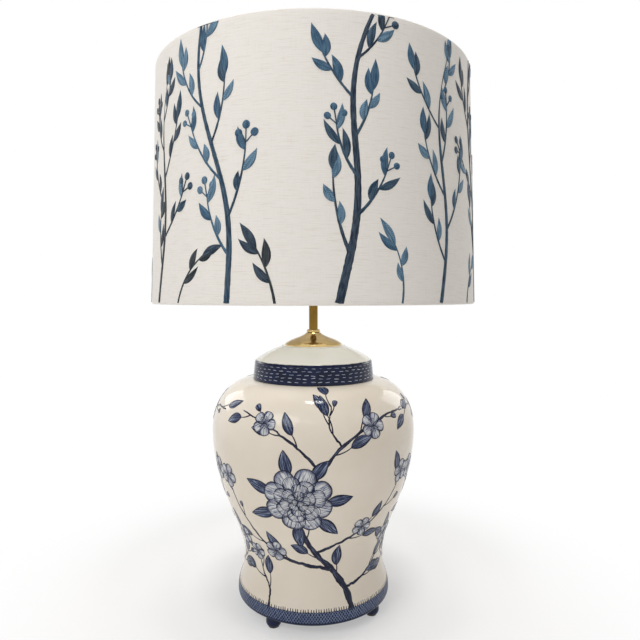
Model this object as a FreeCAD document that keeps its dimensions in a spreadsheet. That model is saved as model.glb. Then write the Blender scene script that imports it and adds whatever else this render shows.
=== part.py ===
import FreeCAD, Part
import math
import os
import re

import Sketcher

# Ginger jar table lamp.
#
# A hollow ceramic jar with a cap lid stands on four bun feet. A threaded lamp pipe runs up through the
# jar's floor and the lid and clamps the brass cap, ring and tube, the harp saddle and the socket. The
# harp's loop carries a turning stud, and the drum shade's spider sits on that stud under a finial.
#
# Frame: millimetres, +Z up, -Y is the front, origin at the bottom centre, where the felt pads stand.

# ------------------------------------------------------------------ driving dimensions
# Each line: name, value, what it measures. Lengths are in millimetres.

SIZES = (
    ("felt_thickness", 1.5, "felt pad under each foot"),
    ("felt_radius", 6.5, "felt pad"),
    ("foot_height", 11.5, "bun foot, felt pad to jar"),
    ("foot_radius", 9.5, "bun foot at its widest"),
    ("foot_top", 7.5, "radius of the foot where it meets the jar"),
    ("foot_circle", 87, "radius of the circle that the feet stand on"),
    ("foot_count", 4, "number of feet"),
    ("foot_angle", 56.5, "degrees from +X to the first foot"),
    ("jar_height", 278.5, "underside of the jar to the seat of the lid"),
    ("jar_wall", 6, "wall of the jar"),
    ("jar_floor", 8, "floor of the jar"),
    ("base_radius", 98.9, "jar just above its underside"),
    ("base_round", 3.5, "rounding of the jar's lower edge"),
    ("base_rise", 24, "pull of the curve above the base"),
    ("foot_ring", 77, "inner radius of the ring under the jar"),
    ("foot_ring_depth", 5, "recess inside that ring"),
    ("waist_radius", 91, "jar at its waist"),
    ("waist_height", 53.3, "waist above the underside"),
    ("waist_down", 34.5, "pull of the curve below the waist"),
    ("waist_up", 42, "pull of the curve above the waist"),
    ("belly_radius", 131, "jar at its widest"),
    ("belly_height", 214.6, "widest place above the underside"),
    ("belly_down", 73.2, "pull of the curve below the belly"),
    ("belly_up", 34.8, "pull of the curve above the belly"),
    ("seat_margin", 1, "flat of the shoulder outside the lid"),
    ("shoulder_reach", 30, "pull of the curve at the shoulder"),
    ("neck_height", 14, "neck collar above the shoulder"),
    ("neck_clearance", 5.7, "neck collar to the lid's inside"),
    ("neck_round", 2.5, "rounding of the collar's rim"),
    ("band_radius", 78.7, "lid at its lower edge"),
    ("band_taper", 2.1, "how much the lid's band draws in"),
    ("band_height", 25, "height of the lid's band"),
    ("band_round", 4, "rounding over the band"),
    ("band_edge", 1.2, "rounding of the lid's lower edge"),
    ("dome_set_in", 2.1, "lid's dome inside the band's upper edge"),
    ("dome_reach", 9.5, "pull of the dome's lower end, inwards"),
    ("dome_rise", 6.9, "pull of the dome's lower end, upwards"),
    ("lid_height", 43, "seat of the lid to its flat top"),
    ("lid_wall", 6, "wall of the lid"),
    ("lip_radius", 41.7, "raised boss on top of the lid"),
    ("lip_height", 1.2, "boss above the dome"),
    ("lip_round", 0.8, "rounding of the boss"),
    ("lip_reach", 10.7, "pull of the dome's upper end, outwards"),
    ("lip_fall", 4, "pull of the dome's upper end, downwards"),
    ("cap_margin", 4.5, "boss of the lid outside the brass cap"),
    ("cap_wall", 1, "sheet of the brass cap"),
    ("cap_height", 16, "brass cap"),
    ("cap_rim", 1.6, "upright rim of the cap"),
    ("cap_rim_reach", 7.2, "pull of the cap's curve at the rim, inwards"),
    ("cap_rim_rise", 6.9, "pull of the cap's curve at the rim, upwards"),
    ("cap_neck", 9.2, "radius of the cap's flat top"),
    ("cap_neck_reach", 3.8, "pull of the cap's curve at its top, outwards"),
    ("cap_neck_fall", 5.5, "pull of the cap's curve at its top, downwards"),
    ("collar_radius", 8.7, "brass ring on the cap"),
    ("collar_height", 4.2, "brass ring on the cap"),
    ("collar_round", 1.6, "rounding of that ring"),
    ("tube_wall", 0.6, "wall of the brass neck tube"),
    ("tube_length", 47.3, "brass neck tube"),
    ("pipe_radius", 4.9, "lamp pipe, M10 thread"),
    ("pipe_bore", 3.4, "bore of the lamp pipe"),
    ("pipe_gap", 0.2, "pipe to a brass piece on it"),
    ("pipe_hole_gap", 0.9, "pipe to the holes in the ceramic"),
    ("pipe_tail", 3, "pipe below its nut"),
    ("pipe_head", 10, "pipe above the saddle"),
    ("rubber_thickness", 2, "rubber washer"),
    ("rubber_radius", 19, "rubber washer"),
    ("steel_thickness", 1.5, "steel washer"),
    ("steel_radius", 16, "steel washer"),
    ("nut_height", 5, "pipe nut"),
    ("nut_across", 17, "pipe nut across its flats"),
    ("thread_gap", 0.05, "screw to its thread"),
    ("bushing_flange", 6.5, "flange of the flex bushing"),
    ("bushing_flange_thickness", 1.6, "flange of the flex bushing"),
    ("bushing_radius", 4.9, "sleeve of the flex bushing"),
    ("bushing_bore", 3.4, "bore of the flex bushing"),
    ("bushing_tail", 3, "bushing inside the wall"),
    ("bushing_gap", 0.1, "bushing to its hole"),
    ("spot_face", 0.8, "flat cut for the bushing's flange"),
    ("saddle_thickness", 2, "saddle strap"),
    ("saddle_width", 12, "saddle strap"),
    ("saddle_flat", 11, "half of the strap's flat middle"),
    ("saddle_rise", 8, "strap's ends above its middle"),
    ("saddle_tab", 4.5, "half of the strap's flat ends"),
    ("post_height", 8, "posts on the saddle"),
    ("leg_spread", 26, "harp leg from the middle"),
    ("wire_radius", 2.25, "harp wire and posts"),
    ("harp_height", 254, "saddle to the harp's top"),
    ("harp_half_width", 57, "harp's wire at its widest"),
    ("harp_leg", 27, "straight part of the harp's legs"),
    ("harp_flare", 40, "radius where the legs turn out"),
    ("harp_bow", 200, "radius of the harp's long bows"),
    ("harp_shoulder", 30, "radius of the harp's top corners"),
    ("hub_radius", 7, "eye on top of the harp"),
    ("hub_thickness", 6, "eye on top of the harp"),
    ("sleeve_length", 18, "sleeve over the harp's joint"),
    ("sleeve_wall", 1.1, "sleeve"),
    ("sleeve_gap", 0.06, "sleeve to the wire"),
    ("sleeve_lift", 0.3, "sleeve above the saddle's strap"),
    ("stud_shank", 2.6, "shank of the swivel stud"),
    ("stud_play", 0.06, "shank to its bore, and shoulders to the eye"),
    ("stud_head", 4.8, "head under the eye"),
    ("stud_head_height", 2, "head under the eye"),
    ("stud_shoulder", 6.5, "shoulder that the shade sits on"),
    ("stud_shoulder_height", 2.5, "shoulder that the shade sits on"),
    ("stud_post", 3.1, "threaded post for the finial"),
    ("stud_post_height", 11, "threaded post for the finial"),
    ("stud_point", 0.8, "chamfer of that post"),
    ("spider_hub", 12, "washer of the shade's spider"),
    ("spider_thickness", 2, "washer of the shade's spider"),
    ("spider_bore_gap", 0.25, "spider's washer to the threaded post"),
    ("spider_wire", 1.6, "radius of the spider's arms"),
    ("spider_flat", 30, "level part of each arm"),
    ("spider_bend", 40, "radius of the bend in each arm"),
    ("spider_arms", 3, "number of arms"),
    ("shade_recess", 10.3, "spider's seat below the shade's top"),
    ("shade_height", 282, "shade"),
    ("shade_bottom_radius", 203, "shade at its lower rim"),
    ("shade_taper", 7.4, "how much the shade draws in towards its top"),
    ("fabric_thickness", 0.7, "linen"),
    ("liner_thickness", 0.8, "stiff liner"),
    ("ring_wire", 1.6, "radius of the wire of the shade's rings"),
    ("ring_gap", 0.15, "wire rings to liner and hem"),
    ("hem_height", 7, "turned-in edge of the linen"),
    ("hem_slit_gap", 0.4, "spider's arms to the slits in the hem"),
    ("rim_round", 1.6, "rounding of the shade's rims"),
    ("finial_height", 32, "finial"),
    ("finial_base", 7.5, "radius of the finial's foot"),
    ("finial_base_height", 3.8, "upright edge of the finial's foot"),
    ("finial_neck", 3.6, "radius of the finial's neck"),
    ("finial_neck_height", 9.6, "finial's neck above its foot's underside"),
    ("finial_knob", 8.5, "radius of the finial's knob"),
    ("finial_bore_depth", 12, "thread in the finial"),
    ("socket_hub", 8, "hub of the socket's cap"),
    ("socket_hub_height", 8, "hub of the socket's cap"),
    ("socket_sheet", 0.8, "brass sheet of cap and shell"),
    ("socket_cap_height", 23, "socket's cap with its hub"),
    ("socket_cap_bowl", 7, "rounded bottom of the cap"),
    ("socket_fit", 0.1, "gap between the socket's layers"),
    ("shell_start", 17, "saddle to the lower edge of the shell"),
    ("shell_length", 44, "socket's shell"),
    ("card_thickness", 0.8, "card sleeve in the shell"),
    ("core_height", 20, "moulded core of the socket"),
    ("core_ledge", 1.1, "moulded core outside the screw shell"),
    ("core_flat", 11, "flats for the terminal screws, from the middle"),
    ("core_flat_height", 10, "flats for the terminal screws"),
    ("terminal_head", 2.7, "radius of a terminal screw's head"),
    ("terminal_head_height", 1.6, "terminal screw's head"),
    ("terminal_shank", 1.4, "radius of a terminal screw"),
    ("terminal_depth", 5, "terminal screw in the core"),
    ("set_screw", 1.5, "radius of the cap's set screw"),
    ("set_screw_proud", 0.6, "set screw outside the hub"),
    ("screw_shell_wall", 0.4, "screw shell of the socket"),
    ("screw_shell_length", 19, "screw shell of the socket"),
    ("contact_radius", 4, "centre contact"),
    ("contact_thickness", 0.8, "centre contact"),
    ("spindle_radius", 1.5, "switch spindle"),
    ("spindle_depth", 12, "spindle in the core"),
    ("spindle_height", 12, "spindle above the core's underside"),
    ("spindle_play", 0.06, "spindle to its bore in the core"),
    ("spindle_hole_gap", 0.6, "spindle to the holes in shell and card"),
    ("knob_gap", 2, "switch knob off the shell"),
    ("knob_radius", 4.6, "switch knob's hub"),
    ("knob_hub_length", 5, "switch knob's hub"),
    ("knob_paddle_length", 11, "switch knob's paddle"),
    ("knob_paddle_width", 15, "switch knob's paddle"),
    ("knob_paddle_thickness", 4, "switch knob's paddle"),
    ("bulb_gap", 0.3, "bulb's base to the socket's screw shell"),
    ("bulb_base_radius", 13, "bulb's screw base, crest of the thread"),
    ("bulb_base_length", 22, "bulb's screw base"),
    ("bulb_base_wall", 0.6, "sheet of the bulb's base"),
    ("bulb_thread_pitch", 3.6, "thread of the bulb's base"),
    ("bulb_thread_depth", 0.7, "thread of the bulb's base"),
    ("bulb_thread_turns", 4, "ridges of that thread"),
    ("bulb_thread_start", 1, "plain edge under that thread"),
    ("bulb_tip_radius", 4.2, "solder contact of the bulb"),
    ("bulb_tip_height", 1.6, "solder contact of the bulb"),
    ("bulb_insulator_height", 2.4, "black ring of the bulb"),
    ("bulb_radius", 30, "glass of the bulb"),
    ("bulb_length", 107, "bulb, contact to crown"),
    ("bulb_neck_gap", 0.2, "glass inside the base"),
    ("bulb_neck_tail", 8, "glass inside the base"),
    ("bulb_neck_reach", 2, "pull of the glass's curve above the base, outwards"),
    ("bulb_neck_rise", 16.5, "pull of the glass's curve above the base, upwards"),
    ("bulb_swell", 22.5, "pull of the glass's curve below its widest place"),
    ("bulb_glass_wall", 0.8, "glass"),
)

# ------------------------------------------------------------------ places worked out from them

PLACES = {
    "jar_base": "felt_thickness + foot_height",
    "floor_under": "jar_base + foot_ring_depth",
    "floor_top": "floor_under + jar_floor",
    "waist_z": "jar_base + waist_height",
    "belly_z": "jar_base + belly_height",
    "lid_seat": "jar_base + jar_height",
    "seat_radius": "band_radius + seat_margin",
    "lid_bore": "band_radius - lid_wall",
    "neck_radius": "lid_bore - neck_clearance",
    "neck_bore": "neck_radius - jar_wall",
    "neck_top": "lid_seat + neck_height",
    "band_top": "lid_seat + band_height",
    "boss_top": "lid_seat + lid_height",
    "dome_top": "boss_top - lip_height",
    "dome_radius": "band_radius - band_taper - dome_set_in",
    "cap_radius": "lip_radius - cap_margin",
    "cap_top": "boss_top + cap_height",
    "collar_top": "cap_top + collar_height",
    "tube_top": "collar_top + tube_length",
    "saddle_top": "tube_top + saddle_thickness",
    "pipe_hole": "pipe_radius + pipe_hole_gap",
    "brass_hole": "pipe_radius + pipe_gap",
    "tube_radius": "brass_hole + tube_wall",
    "rubber_bottom": "floor_under - rubber_thickness",
    "steel_bottom": "rubber_bottom - steel_thickness",
    "nut_bottom": "steel_bottom - nut_height",
    "tab_top": "saddle_top + saddle_rise",
    "leg_end": "tab_top + post_height",
    "hub_top": "saddle_top + harp_height",
    "top_wire": "hub_top - hub_thickness / 2",
    "hub_under": "hub_top - hub_thickness",
    "bow_centre": "harp_half_width - harp_bow",
    "spider_seat": "hub_top + stud_play + stud_shoulder_height",
    "spider_top": "spider_seat + spider_thickness",
    "stud_tip": "spider_seat + stud_post_height",
    "shade_top": "spider_seat + shade_recess",
    "shade_top_radius": "shade_bottom_radius - shade_taper",
    "shade_bottom": "shade_top - shade_height",
    "liner_skin": "fabric_thickness + liner_thickness",
    "ring_depth": "liner_skin + ring_gap + ring_wire",
    "ring_lift": "fabric_thickness + ring_gap + ring_wire",
    "hem_bore": "liner_skin + 2 * ring_gap + 2 * ring_wire",
    "hem_skin": "hem_bore + fabric_thickness",
    "hub_of_socket_top": "saddle_top + socket_hub_height",
    "socket_cap_top": "saddle_top + socket_cap_height",
    "shell_bottom": "saddle_top + shell_start",
    "shell_top": "shell_bottom + shell_length",
    "screw_shell_bore": "bulb_base_radius + bulb_gap",
    "core_radius": "screw_shell_bore + screw_shell_wall + core_ledge",
    "card_bore": "core_radius + socket_fit",
    "card_radius": "card_bore + card_thickness",
    "shell_bore": "card_radius + socket_fit",
    "shell_radius": "shell_bore + socket_sheet",
    "socket_radius": "shell_radius + socket_fit + socket_sheet",
    "core_top": "shell_bottom + core_height",
    "spindle_z": "shell_bottom + spindle_height",
    "terminal_z": "shell_bottom + core_flat_height / 2",
    "contact_top": "core_top + contact_thickness",
    "bulb_bottom": "contact_top + socket_fit",
    "bulb_skirt": "bulb_bottom + bulb_tip_height + bulb_insulator_height",
    "bulb_base_top": "bulb_bottom + bulb_base_length",
    "bulb_middle": "bulb_bottom + bulb_length - bulb_radius",
    "bulb_neck": "bulb_base_radius - bulb_thread_depth - bulb_base_wall - bulb_neck_gap",
    "knob_front": "shell_radius + knob_gap",
    "finial_top": "spider_top + finial_height",
}

# Share of its swell that the curve of a bun foot is pulled before it turns up.
FOOT_FULLNESS = 0.6

document = FreeCAD.newDocument("GingerJarLamp")
sheet = document.addObject("Spreadsheet::Sheet", "Sizes")
for row, (name, amount, meaning) in enumerate(SIZES, start=1):
    sheet.set(f"A{row}", meaning)
    sheet.set(f"B{row}", str(amount))
    sheet.setAlias(f"B{row}", name)
document.recompute()

NAMES = {name for name, amount, meaning in SIZES}
parts = []


# ------------------------------------------------------------------ formulas

def formula(text):
    """Write a formula on the names above as the document's expressions read it."""
    def swap(match):
        word = match.group()
        if word in PLACES:
            return "(" + formula(PLACES[word]) + ")"
        if word in NAMES:
            return "Sizes." + word
        return word
    return re.sub(r"[a-z_]+", swap, text)


def value(text):
    """The number that a formula gives now."""
    return float(sheet.evalExpression(formula(text)))


def bind(thing, name, text):
    """Tie a property of a document object to a formula."""
    thing.setExpression(name, formula(text))


# ------------------------------------------------------------------ bodies and sketches

def new_body(label):
    """A body for one sub-part, which its label names."""
    body = document.addObject("PartDesign::Body", label)
    body.Label = label
    parts.append(body)
    return body


def origin_feature(body, role):
    """One of the body's own origin planes or axes."""
    return next(item for item in body.Origin.OriginFeatures if item.Role == role)


def new_sketch(body, plane, shift="0"):
    """A sketch on one of the body's origin planes, moved along that plane's normal."""
    sketch = body.newObject("Sketcher::SketchObject", body.Name + "_sketch")
    sketch.AttachmentSupport = [(origin_feature(body, plane), "")]
    sketch.MapMode = "FlatFace"
    bind(sketch, "AttachmentOffset.Base.z", shift)
    return sketch


def hold(sketch, edge, tip, place):
    """Fix a point of a sketch at a place given by two formulas. None leaves one free."""
    for kind, text in zip(("DistanceX", "DistanceY"), place):
        if text is None:
            continue
        number = sketch.addConstraint(Sketcher.Constraint(kind, -1, 1, edge, tip, value(text)))
        sketch.setExpression(f"Constraints[{number}]", formula(text))


def hold_radius(sketch, edge, text):
    """Set the radius of a circle or an arc of a sketch by a formula."""
    number = sketch.addConstraint(Sketcher.Constraint("Radius", edge, value(text)))
    sketch.setExpression(f"Constraints[{number}]", formula(text))


def vector(place):
    """The point of a sketch that two formulas give now."""
    return FreeCAD.Vector(value(place[0]), value(place[1]), 0)


def arc_between(start, end, radius, turn):
    """The arc under a half circle from start to end. turn is 1 to the left and -1 to the right.

    Returns it with the tip numbers of its start and its end, since arcs run anticlockwise."""
    chord = end - start
    height = math.sqrt(max(radius ** 2 - chord.Length ** 2 / 4, 0))
    side = FreeCAD.Vector(-chord.y, chord.x, 0).normalize()
    centre = (start + end) / 2 + side * (height * turn)
    first, last = (start, end) if turn > 0 else (end, start)
    begin = math.atan2(first.y - centre.y, first.x - centre.x)
    finish = math.atan2(last.y - centre.y, last.x - centre.x)
    circle = Part.Circle(centre, FreeCAD.Vector(0, 0, 1), radius)
    tips = (1, 2) if turn > 0 else (2, 1)
    return Part.ArcOfCircle(circle, begin, finish), tips


def draw_curve(sketch, poles):
    """A cubic curve with its first, second, third and last poles."""
    curve = Part.BSplineCurve()
    curve.buildFromPolesMultsKnots([vector(pole) for pole in poles], [4, 4], [0, 1], False, 3)
    edge = sketch.addGeometry(curve, False)
    for number, pole in enumerate(poles):
        spot = Part.Circle(vector(pole), FreeCAD.Vector(0, 0, 1), 1)
        control = sketch.addGeometry(spot, True)
        sketch.addConstraint(Sketcher.Constraint(
            "InternalAlignment:Sketcher::BSplineControlPoint", control, 3, edge, number))
        if number == 0:
            sketch.addConstraint(Sketcher.Constraint("Weight", control, 1.0))
        else:
            sketch.addConstraint(Sketcher.Constraint("Equal", edge + 1, control))
        if number in (1, 2):
            hold(sketch, control, 3, pole)
    return edge


# The kinds of step in an outline. Each says how the outline reaches its next corner.

def to(x, y):
    """A straight edge."""
    return {"end": (x, y)}


def bend(x, y, first, second):
    """A cubic curve that leaves towards first and arrives from second."""
    return {"end": (x, y), "handles": (first, second)}


def round_to(x, y, radius):
    """An arc of that radius, turning to the left."""
    return {"end": (x, y), "radius": radius, "turn": 1}


def round_back(x, y, radius):
    """An arc of that radius, turning to the right."""
    return {"end": (x, y), "radius": radius, "turn": -1}


def trace(sketch, steps):
    """Draw a closed outline. The first step also closes it from the last one's corner."""
    edges = []
    for number, step in enumerate(steps):
        start, end = steps[number - 1]["end"], step["end"]
        if "handles" in step:
            edges.append((draw_curve(sketch, (start, *step["handles"], end)), 1, 2))
        elif "radius" in step:
            arc, tips = arc_between(vector(start), vector(end), value(step["radius"]), step["turn"])
            edge = sketch.addGeometry(arc, False)
            hold_radius(sketch, edge, step["radius"])
            edges.append((edge, *tips))
        else:
            edges.append((sketch.addGeometry(Part.LineSegment(vector(start), vector(end)), False), 1, 2))
    for number, step in enumerate(steps):
        edge, _, tip = edges[number]
        following, following_tip, _ = edges[(number + 1) % len(steps)]
        sketch.addConstraint(Sketcher.Constraint("Coincident", edge, tip, following, following_tip))
        hold(sketch, edge, tip, step["end"])


def draw_circle(sketch, x, y, radius):
    """A circle of a sketch."""
    shape = Part.Circle(vector((x, y)), FreeCAD.Vector(0, 0, 1), value(radius))
    edge = sketch.addGeometry(shape, False)
    hold(sketch, edge, 3, (x, y))
    hold_radius(sketch, edge, radius)


def feature(body, kind, **settings):
    """Add a feature to a body. A name that ends in an underscore takes a formula."""
    item = body.newObject("PartDesign::" + kind, body.Name + "_" + kind.lower())
    for name, setting in settings.items():
        if name.endswith("_"):
            bind(item, name[:-1], setting)
        else:
            setattr(item, name, setting)
    body.Tip = item
    document.recompute()
    return item


def revolve(body, steps):
    """Turn an outline of radius and height about the vertical axis."""
    sketch = new_sketch(body, "XZ_Plane")
    trace(sketch, steps)
    return feature(body, "Revolution", Profile=sketch, ReferenceAxis=(sketch, ["V_Axis"]), Angle=360)


def raise_circle(body, x, y, radius, bottom, height):
    """An upright round boss."""
    sketch = new_sketch(body, "XY_Plane", bottom)
    draw_circle(sketch, x, y, radius)
    return feature(body, "Pad", Profile=sketch, Length_=height)


def cut(body, sketch, length, backwards=False):
    """A pocket that has to take something away."""
    before = body.Shape.Volume
    item = feature(body, "Pocket", Profile=sketch, Length_=length, Reversed=backwards)
    if not body.Shape.Volume < before - 1e-3:
        raise RuntimeError(body.Label + ": the pocket cuts nothing")
    return item


def cut_front_to_back(body, height, radius, start, length):
    """A round hole towards the back, +Y, from the distance start."""
    sketch = new_sketch(body, "XZ_Plane", f"-({start})")
    draw_circle(sketch, "0", height, radius)
    return cut(body, sketch, length)


def cut_to_front(body, height, radius, start, length):
    """A round hole towards the front, -Y, from the distance start."""
    sketch = new_sketch(body, "XZ_Plane", start)
    draw_circle(sketch, "0", height, radius)
    return cut(body, sketch, length, backwards=True)


def spread(body, originals, count):
    """Repeat features evenly about the vertical axis."""
    axis = (origin_feature(body, "Z_Axis"), [""])
    return feature(body, "PolarPattern", Originals=originals, Axis=axis, Angle=360, Occurrences_=count)


def mirror_sideways(body, originals):
    """Repeat features on the other side of the middle plane."""
    plane = (origin_feature(body, "YZ_Plane"), [""])
    return feature(body, "Mirrored", Originals=originals, MirrorPlane=plane)


def turned(label, steps):
    """A sub-part that is one outline turned about the vertical axis."""
    body = new_body(label)
    revolve(body, steps)
    return body


def ring_outline(bore, radius, bottom, top):
    """Square-edged ring: inner and outer radius, lower and upper height."""
    return [to(bore, bottom), to(radius, bottom), to(radius, top), to(bore, top)]


# ------------------------------------------------------------------ feet

def make_feet():
    """Round bun feet under the jar's foot ring, each on a felt pad."""
    axis = "foot_circle"
    widest = f"{axis} + foot_radius"
    middle = "felt_thickness + foot_height / 2"
    feet = new_body("bun_feet")
    sketch = new_sketch(feet, "XZ_Plane")
    trace(sketch, [
        to(axis, "felt_thickness"),
        to(f"{axis} + felt_radius", "felt_thickness"),
        bend(widest, middle,
             (f"{axis} + felt_radius + (foot_radius - felt_radius) * {FOOT_FULLNESS}", "felt_thickness"),
             (widest, "felt_thickness + foot_height / 4")),
        bend(f"{axis} + foot_top", "jar_base",
             (widest, "jar_base - foot_height / 4"),
             (f"{axis} + foot_top + (foot_radius - foot_top) * {FOOT_FULLNESS}", "jar_base")),
        to(axis, "jar_base"),
    ])
    spine = sketch.addGeometry(
        Part.LineSegment(vector((axis, "0")), vector((axis, "foot_height"))), True)
    hold(sketch, spine, 1, (axis, "0"))
    hold(sketch, spine, 2, (axis, "foot_height"))
    foot = feature(feet, "Revolution", Profile=sketch, ReferenceAxis=(sketch, ["Axis0"]), Angle=360)
    spread(feet, [foot], "foot_count")

    pads = new_body("felt_pads")
    pad = raise_circle(pads, axis, "0", "felt_radius", "0", "felt_thickness")
    spread(pads, [pad], "foot_count")
    for body in (feet, pads):
        body.Placement = FreeCAD.Placement(
            FreeCAD.Vector(), FreeCAD.Rotation(FreeCAD.Vector(0, 0, 1), value("foot_angle")))
        bind(body, "Placement.Rotation.Angle", "foot_angle")


# ------------------------------------------------------------------ jar and lid

def make_jar():
    """Hollow jar: foot ring, waist, belly, shoulder with the lid's seat, and neck collar."""
    inner_belly = "belly_radius - jar_wall"
    inner_waist = "waist_radius - jar_wall"
    inner_base = "base_radius - jar_wall"
    jar = turned("jar_body", [
        to("pipe_hole", "floor_under"),
        to("foot_ring", "floor_under"),
        to("foot_ring", "jar_base"),
        to("base_radius - base_round", "jar_base"),
        round_to("base_radius", "jar_base + base_round", "base_round"),
        bend("waist_radius", "waist_z",
             ("base_radius", "jar_base + base_round + base_rise"),
             ("waist_radius", "waist_z - waist_down")),
        bend("belly_radius", "belly_z",
             ("waist_radius", "waist_z + waist_up"), ("belly_radius", "belly_z - belly_down")),
        bend("seat_radius", "lid_seat",
             ("belly_radius", "belly_z + belly_up"), ("seat_radius + shoulder_reach", "lid_seat")),
        to("neck_radius", "lid_seat"),
        to("neck_radius", "neck_top - neck_round"),
        round_to("neck_radius - neck_round", "neck_top", "neck_round"),
        to("neck_bore", "neck_top"),
        to("neck_bore", "lid_seat - jar_wall"),
        bend(inner_belly, "belly_z",
             ("seat_radius + shoulder_reach - jar_wall", "lid_seat - jar_wall"),
             (inner_belly, "belly_z + belly_up")),
        bend(inner_waist, "waist_z",
             (inner_belly, "belly_z - belly_down"), (inner_waist, "waist_z + waist_up")),
        bend(inner_base, "floor_top",
             (inner_waist, "waist_z - waist_down / 2"), (inner_base, "floor_top + base_rise / 2")),
        to("pipe_hole", "floor_top"),
    ])
    flat = "waist_radius - spot_face"
    cut_front_to_back(jar, "waist_z", "bushing_radius + bushing_gap",
                      "waist_radius - 2 * jar_wall", "3 * jar_wall")
    cut_front_to_back(jar, "waist_z", "bushing_flange + bushing_gap", flat, "jar_wall")


def make_bushing():
    """Flanged bushing for the flex, seated on the flat in the back of the waist."""
    body = turned("cord_bushing", [
        to("bushing_bore", "-(jar_wall + bushing_tail)"),
        to("bushing_radius", "-(jar_wall + bushing_tail)"),
        to("bushing_radius", "0"),
        to("bushing_flange", "0"),
        to("bushing_flange", "bushing_flange_thickness / 2"),
        round_to("bushing_flange - bushing_flange_thickness / 2", "bushing_flange_thickness",
                 "bushing_flange_thickness / 2"),
        to("bushing_bore", "bushing_flange_thickness"),
    ])
    body.Placement = FreeCAD.Placement(
        FreeCAD.Vector(), FreeCAD.Rotation(FreeCAD.Vector(1, 0, 0), -90))
    bind(body, "Placement.Base.y", "waist_radius - spot_face")
    bind(body, "Placement.Base.z", "waist_z")


def make_lid():
    """Cap lid: upright band over the neck, low dome, raised boss for the brass cap."""
    turned("jar_lid", [
        to("lid_bore", "lid_seat"),
        to("band_radius - band_edge", "lid_seat"),
        round_to("band_radius", "lid_seat + band_edge", "band_edge"),
        to("band_radius - band_taper", "band_top - band_round"),
        bend("dome_radius", "band_top",
             ("band_radius - band_taper", "band_top - band_round / 2"),
             ("dome_radius + band_round / 4", "band_top - band_round / 4")),
        bend("lip_radius", "dome_top",
             ("dome_radius - dome_reach", "band_top + dome_rise"),
             ("lip_radius + lip_reach", "dome_top - lip_fall")),
        to("lip_radius", "boss_top - lip_round"),
        round_to("lip_radius - lip_round", "boss_top", "lip_round"),
        to("pipe_hole", "boss_top"),
        to("pipe_hole", "boss_top - lid_wall"),
        to("lip_radius", "boss_top - lid_wall"),
        bend("dome_radius - lid_wall", "band_top - lid_wall",
             ("lip_radius + lip_reach", "boss_top - lid_wall - lip_fall"),
             ("dome_radius - lid_wall - dome_reach", "band_top - lid_wall + dome_rise")),
        to("lid_bore", "band_top - 2 * lid_wall"),
    ])


# ------------------------------------------------------------------ pipe and brass work

def make_pipe_and_nut():
    """Lamp pipe from under the floor to the socket, with its washers and nut."""
    turned("lamp_pipe", ring_outline(
        "pipe_bore", "pipe_radius", "nut_bottom - pipe_tail", "saddle_top + pipe_head"))
    turned("rubber_washer", ring_outline("brass_hole", "rubber_radius", "rubber_bottom", "floor_under"))
    turned("steel_washer", ring_outline("brass_hole", "steel_radius", "steel_bottom", "rubber_bottom"))
    nut = new_body("pipe_nut")
    sketch = new_sketch(nut, "XY_Plane", "nut_bottom")
    corner = "nut_across / sqrt(3)"
    half_corner = "nut_across / sqrt(12)"
    trace(sketch, [
        to(corner, "0"),
        to(half_corner, "nut_across / 2"),
        to(f"-{half_corner}", "nut_across / 2"),
        to(f"-{corner}", "0"),
        to(f"-{half_corner}", "-nut_across / 2"),
        to(half_corner, "-nut_across / 2"),
    ])
    draw_circle(sketch, "0", "0", "pipe_radius + thread_gap")
    feature(nut, "Pad", Profile=sketch, Length_="nut_height")


def make_brass():
    """Spun cap on the lid, rounded ring on the cap, and the tube over the pipe."""
    inner_rim = "cap_radius - cap_wall"
    turned("vase_cap", [
        to(inner_rim, "boss_top"),
        to("cap_radius", "boss_top"),
        to("cap_radius", "boss_top + cap_rim"),
        bend("cap_neck", "cap_top",
             ("cap_radius - cap_rim_reach", "boss_top + cap_rim + cap_rim_rise"),
             ("cap_neck + cap_neck_reach", "cap_top - cap_neck_fall")),
        to("brass_hole", "cap_top"),
        to("brass_hole", "cap_top - cap_wall"),
        to("cap_neck - cap_wall", "cap_top - cap_wall"),
        bend(inner_rim, "boss_top + cap_rim - cap_wall",
             ("cap_neck + cap_neck_reach - cap_wall", "cap_top - cap_neck_fall - cap_wall"),
             (f"{inner_rim} - cap_rim_reach", "boss_top + cap_rim + cap_rim_rise - cap_wall")),
    ])
    turned("check_ring", [
        to("brass_hole", "cap_top"),
        to("collar_radius - collar_round", "cap_top"),
        round_to("collar_radius", "cap_top + collar_round", "collar_round"),
        to("collar_radius", "collar_top - collar_round"),
        round_to("collar_radius - collar_round", "collar_top", "collar_round"),
        to("brass_hole", "collar_top"),
    ])
    turned("neck_tube", ring_outline("brass_hole", "tube_radius", "collar_top", "tube_top"))


# ------------------------------------------------------------------ saddle, harp and swivel

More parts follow.
